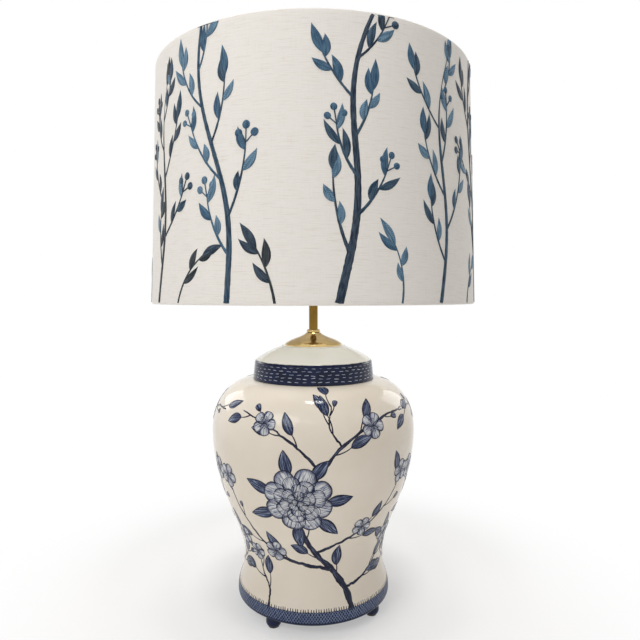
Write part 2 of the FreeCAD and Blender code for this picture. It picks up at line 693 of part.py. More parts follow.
def make_saddle():
    """Strap with raised ends, each with a post that a leg of the harp stands on."""
    saddle = new_body("harp_saddle")
    sketch = new_sketch(saddle, "XZ_Plane")
    outer, inner = "(leg_spread + saddle_tab)", "(leg_spread - saddle_tab)"
    trace(sketch, [
        to("saddle_flat", "tube_top"),
        to(inner, "tab_top - saddle_thickness"),
        to(outer, "tab_top - saddle_thickness"),
        to(outer, "tab_top"),
        to(inner, "tab_top"),
        to("saddle_flat - saddle_thickness / 3", "saddle_top"),
        to("-(saddle_flat - saddle_thickness / 3)", "saddle_top"),
        to(f"-{inner}", "tab_top"),
        to(f"-{outer}", "tab_top"),
        to(f"-{outer}", "tab_top - saddle_thickness"),
        to(f"-{inner}", "tab_top - saddle_thickness"),
        to("-saddle_flat", "tube_top"),
    ])
    feature(saddle, "Pad", Profile=sketch, Length_="saddle_width", SideType="Symmetric")
    post = raise_circle(saddle, "leg_spread", "0", "wire_radius", "tab_top", "post_height")
    mirror_sideways(saddle, [post])
    hole = new_sketch(saddle, "XY_Plane", "saddle_top")
    draw_circle(hole, "0", "0", "brass_hole")
    cut(saddle, hole, "saddle_thickness")


def draw_harp_path(sketch):
    """Half of the harp's wire: leg, flare, long bow, top corner and half of the top."""
    leg, flare, bow = value("leg_spread"), value("harp_flare"), value("harp_bow")
    shoulder, top = value("harp_shoulder"), value("top_wire")
    flare_x, flare_z = leg + flare, value("leg_end + harp_leg")
    bow_x = value("bow_centre")
    bow_z = flare_z + math.sqrt((bow + flare) ** 2 - (flare_x - bow_x) ** 2)
    corner_z = top - shoulder
    corner_x = bow_x + math.sqrt((bow - shoulder) ** 2 - (corner_z - bow_z) ** 2)
    lean = math.atan2(bow_z - flare_z, flare_x - bow_x)
    reach = math.atan2(corner_z - bow_z, corner_x - bow_x)
    up = FreeCAD.Vector(0, 0, 1)

    def arc(x, z, radius, begin, finish):
        return sketch.addGeometry(
            Part.ArcOfCircle(Part.Circle(FreeCAD.Vector(x, z, 0), up, radius), begin, finish), False)

    def line(x, z, next_x, next_z):
        return sketch.addGeometry(
            Part.LineSegment(FreeCAD.Vector(x, z, 0), FreeCAD.Vector(next_x, next_z, 0)), False)

    leg_line = line(leg, value("leg_end"), leg, flare_z)
    flare_arc = arc(flare_x, flare_z, flare, math.pi - lean, math.pi)
    bow_arc = arc(bow_x, bow_z, bow, -lean, reach)
    corner_arc = arc(corner_x, corner_z, shoulder, reach, math.pi / 2)
    top_line = line(corner_x, top, 0, top)
    hold(sketch, leg_line, 1, ("leg_spread", "leg_end"))
    hold(sketch, leg_line, 2, ("leg_spread", "leg_end + harp_leg"))
    sketch.addConstraint(Sketcher.Constraint("Tangent", leg_line, 2, flare_arc, 2))
    hold_radius(sketch, flare_arc, "harp_flare")
    sketch.addConstraint(Sketcher.Constraint("Tangent", flare_arc, 1, bow_arc, 1))
    hold_radius(sketch, bow_arc, "harp_bow")
    hold(sketch, bow_arc, 3, ("bow_centre", None))
    sketch.addConstraint(Sketcher.Constraint("Tangent", bow_arc, 2, corner_arc, 1))
    hold_radius(sketch, corner_arc, "harp_shoulder")
    sketch.addConstraint(Sketcher.Constraint("Tangent", corner_arc, 2, top_line, 1))
    sketch.addConstraint(Sketcher.Constraint("Horizontal", top_line))
    hold(sketch, top_line, 2, ("0", "top_wire"))


def make_harp():
    """Wire loop with an eye on top for the swivel stud."""
    harp = new_body("harp")
    path = new_sketch(harp, "XZ_Plane")
    draw_harp_path(path)
    section = new_sketch(harp, "XY_Plane", "leg_end")
    draw_circle(section, "leg_spread", "0", "wire_radius")
    document.recompute()
    wire = feature(harp, "AdditivePipe", Profile=section, Spine=path)
    mirror_sideways(harp, [wire])
    raise_circle(harp, "0", "0", "hub_radius", "hub_under", "hub_thickness")
    bore = new_sketch(harp, "XY_Plane", "hub_top")
    draw_circle(bore, "0", "0", "stud_shank + stud_play")
    cut(harp, bore, "hub_thickness")


def make_sleeves():
    """Sleeves that slide down over the joints between the harp and the saddle's posts."""
    bottom = "tab_top + sleeve_lift"
    for label, side in (("sleeve_left", "-leg_spread"), ("sleeve_right", "leg_spread")):
        sleeve = turned(label, ring_outline(
            "wire_radius + sleeve_gap", "wire_radius + sleeve_gap + sleeve_wall",
            bottom, f"{bottom} + sleeve_length"))
        bind(sleeve, "Placement.Base.x", side)


def make_stud():
    """Swivel stud: head under the harp's eye, shank, shoulder and threaded post."""
    head_top = "hub_under - stud_play"
    head_bottom = f"{head_top} - stud_head_height"
    shoulder_bottom = "hub_top + stud_play"
    turned("swivel_stud", [
        to("0", head_bottom),
        to("stud_head", head_bottom),
        to("stud_head", head_top),
        to("stud_shank", head_top),
        to("stud_shank", shoulder_bottom),
        to("stud_shoulder", shoulder_bottom),
        to("stud_shoulder", "spider_seat"),
        to("stud_post", "spider_seat"),
        to("stud_post", "stud_tip - stud_point"),
        to("stud_post - stud_point", "stud_tip"),
        to("0", "stud_tip"),
    ])


# ------------------------------------------------------------------ shade

def make_spider():
    """Washer on the stud with three wire arms that rise to the shade's upper ring."""
    spider = new_body("spider")
    revolve(spider, ring_outline("stud_post + spider_bore_gap", "spider_hub", "spider_seat", "spider_top"))
    level = "spider_seat + spider_thickness / 2"
    start = ("spider_hub - spider_wire", level)
    end = ("shade_top_radius - ring_depth - ring_wire", "shade_top - ring_lift")
    path = new_sketch(spider, "XZ_Plane")
    up = FreeCAD.Vector(0, 0, 1)
    bend_start = FreeCAD.Vector(value("spider_flat"), value(level), 0)
    centre = bend_start + FreeCAD.Vector(0, value("spider_bend"), 0)
    slope = math.atan2(value(end[1]) - value(level), value(end[0]) - value("spider_flat"))
    low = -math.pi / 2
    arc = Part.ArcOfCircle(Part.Circle(centre, up, value("spider_bend")), low, low + slope)
    flat = path.addGeometry(Part.LineSegment(vector(start), bend_start), False)
    turn = path.addGeometry(arc, False)
    rise = path.addGeometry(Part.LineSegment(arc.EndPoint, vector(end)), False)
    hold(path, flat, 1, start)
    path.addConstraint(Sketcher.Constraint("Horizontal", flat))
    hold(path, flat, 2, ("spider_flat", None))
    path.addConstraint(Sketcher.Constraint("Tangent", flat, 2, turn, 1))
    hold_radius(path, turn, "spider_bend")
    path.addConstraint(Sketcher.Constraint("Tangent", turn, 2, rise, 1))
    hold(path, rise, 2, end)
    section = new_sketch(spider, "YZ_Plane", start[0])
    draw_circle(section, "0", level, "spider_wire")
    document.recompute()
    arm = feature(spider, "AdditivePipe", Profile=section, Spine=path)
    spread(spider, [arm], "spider_arms")


def make_rings():
    """Wire rings inside the shade's two rims."""
    for label, radius, height in (
            ("top_ring", "shade_top_radius", "shade_top - ring_lift"),
            ("bottom_ring", "shade_bottom_radius", "shade_bottom + ring_lift")):
        ring = new_body(label)
        sketch = new_sketch(ring, "XZ_Plane")
        draw_circle(sketch, f"{radius} - ring_depth", height, "ring_wire")
        feature(ring, "Revolution", Profile=sketch, ReferenceAxis=(sketch, ["V_Axis"]), Angle=360)


def make_shade():
    """Stiff conical liner, and the linen over it, rolled over both wire rings."""
    low, high = "shade_bottom_radius", "shade_top_radius"
    bottom, top = "shade_bottom", "shade_top"
    turned("shade_liner", [
        to(f"{low} - liner_skin", f"{bottom} + fabric_thickness"),
        to(f"{low} - fabric_thickness", f"{bottom} + fabric_thickness"),
        to(f"{high} - fabric_thickness", f"{top} - fabric_thickness"),
        to(f"{high} - liner_skin", f"{top} - fabric_thickness"),
    ])
    fabric = turned("shade_fabric", [
        to(f"{low} - hem_skin", bottom),
        to(f"{low} - rim_round", bottom),
        round_to(low, f"{bottom} + rim_round", "rim_round"),
        to(high, f"{top} - rim_round"),
        round_to(f"{high} - rim_round", top, "rim_round"),
        to(f"{high} - hem_skin", top),
        to(f"{high} - hem_skin", f"{top} - hem_height"),
        to(f"{high} - hem_bore", f"{top} - hem_height"),
        to(f"{high} - hem_bore", f"{top} - fabric_thickness"),
        to(f"{high} - fabric_thickness", f"{top} - fabric_thickness"),
        to(f"{low} - fabric_thickness", f"{bottom} + fabric_thickness"),
        to(f"{low} - hem_bore", f"{bottom} + fabric_thickness"),
        to(f"{low} - hem_bore", f"{bottom} + hem_height"),
        to(f"{low} - hem_skin", f"{bottom} + hem_height"),
    ])
    half = "spider_wire + hem_slit_gap"
    fold = f"{top} - fabric_thickness"
    sketch = new_sketch(fabric, "YZ_Plane", f"{high} - hem_bore + ring_gap")
    trace(sketch, [
        to(f"-({half})", f"{top} - 2 * hem_height"),
        to(half, f"{top} - 2 * hem_height"),
        to(half, fold),
        to(f"-({half})", fold),
    ])
    slit = cut(fabric, sketch, "fabric_thickness + 2 * ring_gap")
    spread(fabric, [slit], "spider_arms")


def make_finial():
    """Turned brass knob with a blind thread for the stud's post."""
    base_top = "spider_top + finial_base_height"
    neck = "spider_top + finial_neck_height"
    knob_middle = "finial_top - finial_knob"
    bore = "stud_post + thread_gap"
    turned("finial", [
        to(bore, "spider_top"),
        to("finial_base", "spider_top"),
        to("finial_base", base_top),
        bend("finial_neck", neck,
             ("finial_base", f"{base_top} + finial_neck"),
             ("finial_neck", f"{neck} - finial_neck")),
        bend("finial_knob", knob_middle,
             ("2 * finial_neck", neck),
             ("finial_knob", f"{knob_middle} - finial_knob / 2")),
        round_to("0", "finial_top", "finial_knob"),
        to("0", "spider_top + finial_bore_depth"),
        to(bore, "spider_top + finial_bore_depth"),
    ])


# ------------------------------------------------------------------ socket

def make_socket_cap():
    """Brass cap screwed on the pipe's end, with a set screw in its hub."""
    skin = "socket_radius - socket_sheet"
    bowl_top = "hub_of_socket_top + socket_cap_bowl"
    cap = turned("socket_cap", [
        to("pipe_radius + thread_gap", "saddle_top"),
        to("socket_hub", "saddle_top"),
        to("socket_hub", "hub_of_socket_top - socket_sheet"),
        bend("socket_radius", bowl_top,
             ("socket_hub + socket_cap_bowl", "hub_of_socket_top - socket_sheet"),
             ("socket_radius", f"{bowl_top} - socket_cap_bowl / 2")),
        to("socket_radius", "socket_cap_top"),
        to(skin, "socket_cap_top"),
        to(skin, bowl_top),
        bend("socket_hub", "hub_of_socket_top",
             (skin, f"{bowl_top} - socket_cap_bowl / 2"),
             ("socket_hub + socket_cap_bowl - socket_sheet", "hub_of_socket_top")),
        to("pipe_radius + thread_gap", "hub_of_socket_top"),
    ])
    height = "saddle_top + socket_hub_height / 2"
    cut_front_to_back(cap, height, "set_screw + thread_gap", "pipe_radius", "socket_hub")
    screw = new_body("cap_set_screw")
    start = "pipe_radius + pipe_gap"
    sketch = new_sketch(screw, "XZ_Plane", f"-({start})")
    draw_circle(sketch, "0", height, "set_screw")
    feature(screw, "Pad", Profile=sketch, Length_=f"socket_hub + set_screw_proud - {start}",
            Reversed=True)


def make_socket_layers():
    """Shell, card sleeve, moulded core and screw shell, one inside the other."""
    clear = "spindle_radius + spindle_hole_gap"
    shell = turned("socket_shell", ring_outline("shell_bore", "shell_radius", "shell_bottom", "shell_top"))
    cut_to_front(shell, "spindle_z", clear, "0", "socket_radius")
    card = turned("shell_insulator", ring_outline(
        "card_bore", "card_radius", "shell_bottom", "shell_top - socket_sheet"))
    cut_to_front(card, "spindle_z", clear, "0", "socket_radius")
    core = turned("socket_core", ring_outline("0", "core_radius", "shell_bottom", "core_top"))
    cut_to_front(core, "spindle_z", "spindle_radius + spindle_play",
                 "core_radius - spindle_depth", "socket_radius")
    side = new_sketch(core, "XY_Plane", "shell_bottom + core_flat_height")
    trace(side, [
        to("core_flat", "-core_radius"),
        to("core_radius + socket_sheet", "-core_radius"),
        to("core_radius + socket_sheet", "core_radius"),
        to("core_flat", "core_radius"),
    ])
    flat = cut(core, side, "core_flat_height")
    mirror_sideways(core, [flat])
    bore = new_sketch(core, "YZ_Plane", "core_flat - terminal_depth")
    draw_circle(bore, "0", "terminal_z", "terminal_shank + thread_gap")
    hole = cut(core, bore, "2 * terminal_depth", backwards=True)
    mirror_sideways(core, [hole])
    turned("screw_shell", ring_outline(
        "screw_shell_bore", "screw_shell_bore + screw_shell_wall",
        "core_top", "core_top + screw_shell_length"))
    turned("centre_contact", ring_outline("0", "contact_radius", "core_top", "contact_top"))


def make_terminals():
    """Two terminal screws on the flats of the core."""
    screws = new_body("terminal_screws")
    drawn = []
    for radius, start, length in (
            ("terminal_shank", "core_flat - terminal_depth", "terminal_depth"),
            ("terminal_head", "core_flat", "terminal_head_height")):
        sketch = new_sketch(screws, "YZ_Plane", start)
        draw_circle(sketch, "0", "terminal_z", radius)
        drawn.append(feature(screws, "Pad", Profile=sketch, Length_=length))
    mirror_sideways(screws, drawn)


def make_switch():
    """Spindle from the core through the shell, and the turn knob on it."""
    spindle = new_body("switch_spindle")
    end = "core_radius - spindle_depth"
    sketch = new_sketch(spindle, "XZ_Plane", f"{end} + thread_gap")
    draw_circle(sketch, "0", "spindle_z", "spindle_radius")
    feature(spindle, "Pad", Profile=sketch, Length_=f"knob_front - ({end} + thread_gap)")
    knob = new_body("switch_knob")
    sketch = new_sketch(knob, "XZ_Plane", "knob_front")
    draw_circle(sketch, "0", "spindle_z", "knob_radius")
    feature(knob, "Pad", Profile=sketch, Length_="knob_hub_length")
    sketch = new_sketch(knob, "XZ_Plane", "knob_front + knob_hub_length / 2")
    half, wing = "knob_paddle_thickness / 2", "knob_paddle_width / 2"
    trace(sketch, [
        to(f"-{half}", f"spindle_z - {wing} + {half}"),
        round_to("0", f"spindle_z - {wing}", half),
        round_to(half, f"spindle_z - {wing} + {half}", half),
        to(half, f"spindle_z + {wing} - {half}"),
        round_to("0", f"spindle_z + {wing}", half),
        round_to(f"-{half}", f"spindle_z + {wing} - {half}", half),
    ])
    feature(knob, "Pad", Profile=sketch, Length_="knob_paddle_length")


# ------------------------------------------------------------------ bulb

def make_bulb():
    """Screw base with its thread's ridges, black insulator, solder tip and glass."""
    root = "bulb_base_radius - bulb_thread_depth"
    ridges = []
    for turn in range(int(value("bulb_thread_turns"))):
        foot = f"bulb_skirt + bulb_thread_start + {turn} * bulb_thread_pitch"
        ridges += [
            to(root, foot),
            to("bulb_base_radius", f"{foot} + bulb_thread_pitch / 2"),
        ]
    inner = f"{root} - bulb_base_wall"
    turned("bulb_base", [
        to(inner, "bulb_skirt"),
        to(root, "bulb_skirt"),
        *ridges,
        to(root, "bulb_skirt + bulb_thread_start + bulb_thread_turns * bulb_thread_pitch"),
        to(root, "bulb_base_top"),
        to(inner, "bulb_base_top"),
    ])
    tip_top = "bulb_bottom + bulb_tip_height"
    turned("bulb_insulator", [
        to("0", tip_top),
        to("bulb_tip_radius", tip_top),
        to(root, "bulb_skirt"),
        to("0", "bulb_skirt"),
    ])
    turned("bulb_tip", [
        to("0", "bulb_bottom"),
        to("bulb_tip_radius / 2", "bulb_bottom"),
        bend("bulb_tip_radius", tip_top,
             ("bulb_tip_radius - bulb_tip_height / 2", "bulb_bottom"),
             ("bulb_tip_radius", "bulb_bottom + bulb_tip_height / 2")),
        to("0", tip_top),
    ])
    crown = "bulb_bottom + bulb_length"
    swell = "bulb_middle - bulb_swell"
    neck_reach = "bulb_base_radius + bulb_neck_reach"
    neck_rise = "bulb_base_top + bulb_neck_rise"
    glass = "bulb_glass_wall"
    turned("bulb_glass", [
        to(f"bulb_neck - {glass}", "bulb_base_top - bulb_neck_tail"),
        to("bulb_neck", "bulb_base_top - bulb_neck_tail"),
        to("bulb_neck", "bulb_base_top"),
        bend("bulb_radius", "bulb_middle", (neck_reach, neck_rise), ("bulb_radius", swell)),
        round_to("0", crown, "bulb_radius"),
        to("0", f"{crown} - {glass}"),
        round_back(f"bulb_radius - {glass}", "bulb_middle", f"bulb_radius - {glass}"),
        bend(f"bulb_neck - {glass}", "bulb_base_top",
             (f"bulb_radius - {glass}", swell), (f"{neck_reach} - {glass}", neck_rise)),
    ])


# ------------------------------------------------------------------ make, check and write

make_feet()
make_jar()
make_bushing()
make_lid()
make_pipe_and_nut()
make_brass()
make_saddle()
make_harp()
make_sleeves()
make_stud()
make_spider()
make_rings()
make_shade()
make_finial()
make_socket_cap()
make_socket_layers()
make_terminals()
make_switch()
make_bulb()
document.recompute()

for item in document.Objects:
    if "Invalid" in item.State or "Error" in item.State:
        raise RuntimeError(item.Label + " failed: " + str(item.State))
for body in parts:
    if body.Shape.isNull() or not body.Shape.isValid():
        raise RuntimeError(body.Label + " has no valid shape")

os.makedirs("parts", exist_ok=True)
for body in parts:
    body.Shape.exportStep("parts/" + body.Label + ".step")
    box = body.Shape.BoundBox
    print(f"{body.Label:18s} {len(body.Shape.Solids)} solid(s) {body.Shape.Volume:12.1f} mm3  "
          f"z {box.ZMin:7.2f} to {box.ZMax:7.2f}")
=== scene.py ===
# %% [markdown]
# # A ginger jar lamp
#
# The lamp is a glazed ceramic jar with a cap lid, a brass stem and an embroidered drum shade. Its
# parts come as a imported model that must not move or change. This lesson dresses them: it gives
# every part its real finish, paints the jar, covers the shade with linen and embroiders the
# linen.

# %% Load the frame
import math

import bpy
import numpy as np
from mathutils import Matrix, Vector
from mathutils.bvhtree import BVHTree


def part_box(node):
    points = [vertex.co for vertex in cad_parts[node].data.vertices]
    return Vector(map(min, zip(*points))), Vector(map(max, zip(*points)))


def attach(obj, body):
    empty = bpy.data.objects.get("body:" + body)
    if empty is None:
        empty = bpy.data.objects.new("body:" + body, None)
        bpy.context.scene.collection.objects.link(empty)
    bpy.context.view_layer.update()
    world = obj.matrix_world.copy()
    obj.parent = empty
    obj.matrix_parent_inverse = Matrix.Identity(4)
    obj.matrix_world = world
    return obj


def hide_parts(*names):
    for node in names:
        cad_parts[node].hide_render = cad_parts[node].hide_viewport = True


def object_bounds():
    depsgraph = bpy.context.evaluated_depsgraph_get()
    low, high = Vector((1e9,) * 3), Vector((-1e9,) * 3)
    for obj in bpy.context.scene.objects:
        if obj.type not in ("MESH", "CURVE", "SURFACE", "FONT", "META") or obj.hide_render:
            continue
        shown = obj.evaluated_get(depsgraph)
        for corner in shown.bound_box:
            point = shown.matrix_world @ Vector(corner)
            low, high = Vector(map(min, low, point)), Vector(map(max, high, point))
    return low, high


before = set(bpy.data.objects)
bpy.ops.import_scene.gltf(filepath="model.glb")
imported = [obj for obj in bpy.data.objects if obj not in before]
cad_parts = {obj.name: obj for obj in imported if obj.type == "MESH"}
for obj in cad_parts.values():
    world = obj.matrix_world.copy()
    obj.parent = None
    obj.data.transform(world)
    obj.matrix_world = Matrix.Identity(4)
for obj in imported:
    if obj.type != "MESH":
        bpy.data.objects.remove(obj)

MM = 0.001
CAD_BOX = [list(corner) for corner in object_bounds()]
bare_size = [round((high - low) / MM) for low, high in zip(*CAD_BOX)]
print("The lamp is", bare_size, "mm across, deep and high")

# %% [markdown]
# ## Camera
#
# The lamp is seen from the front, a little below the middle of its shade, with a fairly wide lens
# held close. That is why the shade's upper rim bows up and its lower rim looks flat. The camera
# could be aimed with a Track To constraint, but plain angles are easier to read and to change.

# %% Camera
SENSOR_WIDTH = 36                       # mm
LENS = 31.83                            # mm
CAMERA_PLACE = (0, -0.742, 0.398)
TILT_DOWN = 2.406                       # degrees
TURN_RIGHT = 0.669                      # degrees

camera_data = bpy.data.cameras.new("camera")
camera_data.sensor_width = SENSOR_WIDTH
camera_data.lens = LENS
camera = bpy.data.objects.new("camera", camera_data)
camera.location = CAMERA_PLACE
camera.rotation_euler = (math.radians(90 - TILT_DOWN), 0, math.radians(-TURN_RIGHT))
bpy.context.scene.collection.objects.link(camera)
bpy.context.scene.camera = camera
bpy.context.scene.view_settings.view_transform = "Standard"
print("The camera stands", -CAMERA_PLACE[1], "m in front of the lamp's axis")

# %% [markdown]
# ## Colours and nodes
#
# Paint charts and photographs give colours as sRGB codes, but a renderer adds up light, so each
# code is turned to linear light by one function. A second one adds a shader node with its
# settings and its links in one call, which keeps the materials below short enough to read. Two
# small ones start a material and turn a size in millimetres into a scale.

# %% Helpers for materials
def colour(code):
    """Linear colour of an sRGB hex code.

    A share up to 0.04045 is divided by 12.92. Above that, 0.055 is added, the sum is divided by
    1.055, and the result is raised to the power 2.4."""
    share = np.array([int(code[place:place + 2], 16) for place in (1, 3, 5)]) / 255
    light = np.where(share <= 0.04045, share / 12.92, ((share + 0.055) / 1.055) ** 2.4)
    return (*light.tolist(), 1.0)


def add(tree, kind, inputs, **settings):
    """Add a shader node. Each input is a number, a colour, or the node or output that feeds it."""
    node = tree.nodes.new("ShaderNode" + kind)
    for name, setting in settings.items():
        setattr(node, name, setting)
    for socket, source in inputs.items():
        if isinstance(source, bpy.types.Node):
            source = source.outputs[0]
        if isinstance(source, bpy.types.NodeSocket):
            tree.links.new(source, node.inputs[socket])
        else:
            node.inputs[socket].default_value = source
    return node


def new_material(name, **constants):
    """A material, its node tree and its main shader, with constants on the shader's own sockets."""
    material = bpy.data.materials.new(name)
    material.use_nodes = True
    shader = material.node_tree.nodes["Principled BSDF"]
    for socket, constant in constants.items():
        socket = socket.replace("_", " ").title().replace("Ior", "IOR")
        shader.inputs[socket].default_value = constant
    return material, material.node_tree, shader


def per(size_in_mm):
    """Texture scale that gives features of that size, in cycles to the metre."""
    return 1 / (size_in_mm * MM)


print("Mid grey #808080 is", round(colour("#808080")[0], 3), "in linear light")

# %% [markdown]
# ## Studio
#
# A catalogue picture shows a lamp on white, with a soft shadow under it. Brightening the lights
# until all the surroundings burn out would wash out the cream glaze too. Here the light stays at
# a level at which a colour renders about as it is written, and only the camera, mirrors and glass
# are shown a pure white beyond the floor. Near the lamp the floor is real and keeps the soft
# shadow, but they still see 40 % of glowing white over it, which lightens the shadow.

# %% Floor
FLOOR_RADIUS = 6        # metres
FLOOR_CORNERS = 96
FADE_START = 0.12       # metres from the lamp's axis, where the floor starts to fade to white
FADE_END = 0.5          # metres, from where it is pure white
# Under the lamp the camera sees this share of glowing white over the real floor, which lightens its
# shadow.
FADE_LEAST = 0.4        # share of white under the lamp


def seen_directly(tree):
    """1 for camera, mirror and glass rays, 0 for rays that carry light to a dull surface."""
    ray = add(tree, "LightPath", {}).outputs
    mirror = add(tree, "Math", {0: ray["Is Camera Ray"], 1: ray["Is Glossy Ray"]},
                 operation="MAXIMUM")
    return add(tree, "Math", {0: mirror, 1: ray["Is Transmission Ray"]}, operation="MAXIMUM")


def make_floor():
    """A round floor, dull white with a share of glowing white under the lamp, fading to pure white.
    The glow is seen only by the camera, mirrors and glass.
    """
    turn = np.linspace(0, 2 * math.pi, FLOOR_CORNERS, endpoint=False)
    rim = np.stack((np.cos(turn), np.sin(turn), 0 * turn), axis=1) * FLOOR_RADIUS
    mesh = bpy.data.meshes.new("floor")
    mesh.from_pydata(rim.tolist(), [], [list(range(len(rim)))])
    floor = bpy.data.objects.new("floor", mesh)
    bpy.context.scene.collection.objects.link(floor)
    material, tree, shader = new_material(
        "matt white floor", Roughness=0.9, Specular_IOR_Level=0.1)
    shader.inputs["Base Color"].default_value = colour("#FBFAF9")
    place = add(tree, "TexCoord", {})
    distance = add(tree, "VectorMath", {0: place.outputs["Object"]}, operation="LENGTH")
    fade = add(tree, "MapRange", {"Value": distance.outputs["Value"], "From Min": FADE_START,
                                  "From Max": FADE_END, "To Min": FADE_LEAST},
               interpolation_type="SMOOTHSTEP")
    share = add(tree, "Math", {0: fade, 1: seen_directly(tree)}, operation="MULTIPLY")
    white = add(tree, "Emission", {"Color": (1, 1, 1, 1), "Strength": 1})
    surface = add(tree, "MixShader", {0: share, 1: shader, 2: white})
    tree.links.new(surface.outputs[0], tree.nodes["Material Output"].inputs["Surface"])
    mesh.materials.append(material)


make_floor()
print("The floor is pure white from", FADE_END, "m outwards")

# %% [markdown]
# ## Lamps
#
# A studio lights such a lamp with soft boxes. Their size gives broad, soft reflections in the
# glaze and shadows without an edge, where point lamps would leave hard dots. A large key light
# stands at the left front and a weak fill at the right, one hangs overhead, two stand behind for
# the edges, and a long narrow one draws the streak on the jar's shoulder. The world adds a low,
# even light from all round.

# %% World and lamps
AMBIENT = 0.35
LAMPS = (
    # name, place, width and height in metres, watts
    ("key", (-0.71, -0.98, 1.06), 0.7, 0.5, 5.6),
    ("top", (0.02, -0.4, 2.4), 0.5, 0.4, 17),
    ("fill", (1.05, -0.61, 1.06), 0.6, 0.6, 0.7),
    ("left rear", (-1.25, 1.0, 0.95), 0.8, 0.8, 4.5),
    ("right rear", (1.25, 1.0, 0.95), 0.8, 0.8, 4.5),
    ("tube", (-0.24, -1.35, 1.18), 0.5, 0.04, 0.6),
)
AIM = Vector((0, 0, 0.36))     # middle of the lamp


def make_world():
    """Even pale light from all round, seen as pure white by the camera, mirrors and glass."""
    world = bpy.data.worlds.new("studio")
    world.use_nodes = True
    tree = world.node_tree
    plain = add(tree, "Background", {"Color": colour("#F8F5F1"), "Strength": AMBIENT})
    white = add(tree, "Background", {"Color": (1, 1, 1, 1), "Strength": 1})
    sky = add(tree, "MixShader", {0: seen_directly(tree), 1: plain, 2: white})
    tree.links.new(sky.outputs[0], tree.nodes["World Output"].inputs["Surface"])
    bpy.context.scene.world = world


def make_lamps():
    """Soft boxes, each turned to face the lamp."""
    for name, place, width, height, watts in LAMPS:
        light = bpy.data.lights.new(name, "AREA")
        light.shape = "RECTANGLE"
        light.size = width
        light.size_y = height
        light.energy = watts
        lamp = bpy.data.objects.new(name, light)
        lamp.location = place
        lamp.rotation_euler = (AIM - Vector(place)).to_track_quat("-Z", "Y").to_euler()
        bpy.context.scene.collection.objects.link(lamp)


make_world()
make_lamps()
print(len(LAMPS), "soft boxes and a world of strength", AMBIENT)

# %% [markdown]
# ## Skins
#
# The painting follows the jar and the embroidery follows the shade. Both are turned surfaces, so
# a place on them is an angle round the axis and a distance along the outline. An image texture
# could carry a drawing, but strokes of real thickness stay sharp at any distance. The outline
# isn't typed in again: level rays from outside touch the part at many heights and measure it.

# %% Radii of a part
TOUCHES = 5
FRONT = (-2.4, -0.7)     # angles round the axis, from the front's left to its right, in radians


def touch(node, low, high, count, crowd=1.0):
    """Radius of a part at many heights, from level rays towards the axis in front of it.

    Heights run from low to high as high - (high - low) * (1 - share) to the power crowd."""
    tree = BVHTree.FromObject(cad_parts[node], bpy.context.evaluated_depsgraph_get())
    heights = high - (high - low) * (1 - np.linspace(0, 1, count)) ** crowd
    directions = [(math.cos(turn), math.sin(turn)) for turn in np.linspace(*FRONT, TOUCHES)]
    radii = []
    for height in heights:
        hits = [tree.ray_cast(Vector((x, y, height)), Vector((-x, -y, 0)))[0]
                for x, y in directions]
        radii.append(max(math.hypot(hit.x, hit.y) for hit in hits))
    return np.array(radii), heights


LID_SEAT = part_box("jar_lid")[0].z
UNDER_LID = LID_SEAT - 0.2 * MM
shoulder, _ = touch("jar_body", UNDER_LID - 50 * MM, UNDER_LID, 2)
print("Over its last 50 mm the jar narrows from", round(shoulder[0] / MM), "to",
      round(shoulder[1] / MM), "mm in radius")

# %% A turned skin
class Skin:
    """A turned surface, as radius and height against the distance along its outline."""

    def __init__(self, radius, height):
        self.radius, self.height = radius, height
        steps = np.hypot(np.diff(radius), np.diff(height))
        self.along = np.concatenate(([0], np.cumsum(steps)))
        slope_out = np.gradient(radius, self.along)
        slope_up = np.gradient(height, self.along)
        size = np.hypot(slope_out, slope_up)
        self.out, self.up = slope_up / size, -slope_out / size

    def radius_at(self, distance):
        """Radius at a distance along the outline."""
        return np.interp(distance, self.along, self.radius)

    def spot(self, degrees, height):
        """Angle and distance of a place, from degrees right of the front and a height."""
        return np.array((math.radians(degrees - 90), np.interp(height, self.height, self.along)))

    def place(self, angle, distance, lift):
        """Points at an angle and a distance, lifted along the normal of the outline."""
        out = np.interp(distance, self.along, self.out)
        up = np.interp(distance, self.along, self.up)
        radius = self.radius_at(distance) + lift * out
        height = np.interp(distance, self.along, self.height) + lift * up
        return np.stack((radius * np.cos(angle), radius * np.sin(angle), height), axis=-1)


JAR_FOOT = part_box("jar_body")[0].z
EDGE_CLEAR = 1.5 * MM         # start above the rounded lower edges of jar and lid
DASHED_HEIGHT = 21 * MM       # height up to which the lid carries dashes
RIM_CLEAR = 2 * MM            # keep clear of the shade's two rims
jar_skin = Skin(*touch("jar_body", JAR_FOOT + EDGE_CLEAR, UNDER_LID, 240, crowd=1.8))
lid_skin = Skin(*touch("jar_lid", LID_SEAT + EDGE_CLEAR, LID_SEAT + DASHED_HEIGHT, 30))
shade_low, shade_high = (corner.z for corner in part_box("shade_fabric"))
shade_skin = Skin(*touch("shade_fabric", shade_low + RIM_CLEAR, shade_high - RIM_CLEAR, 12))
print("The jar's belly is", round(jar_skin.radius.max() / MM, 1), "mm in radius, its outline",
      round(jar_skin.along[-1] / MM), "mm long")

# %% [markdown]
# ## Strokes
#
# A brush stroke and a line of satin stitch have the same form: a path on a skin with a width that
# swells and tapers, a little raised in the middle. Both are made here as a closed tube with a
# flat oval section. Every corner also carries its share along and across the stroke, so that a
# material can draw bristle streaks or threads that follow it.

# %% Curves on a skin
def smooth(points, steps):
    """Curve through points, a cubic for each stretch, with a number of steps in each.

    At each point the curve runs parallel to the line between the points on either side of it."""
    points = np.asarray(points, float)
    first, last = 2 * points[0] - points[1], 2 * points[-1] - points[-2]
    row = np.vstack((first, points, last))
    share = np.linspace(0, 1, steps, endpoint=False)[:, None]
    stretches = []
    for before, start, end, after in zip(row, row[1:], row[2:], row[3:]):
        square = 2 * before - 5 * start + 4 * end - after
        cube = 3 * (start - end) + after - before
        stretches.append(start + 0.5 * share * (end - before + share * (square + share * cube)))
    return np.vstack((*stretches, points[-1:]))


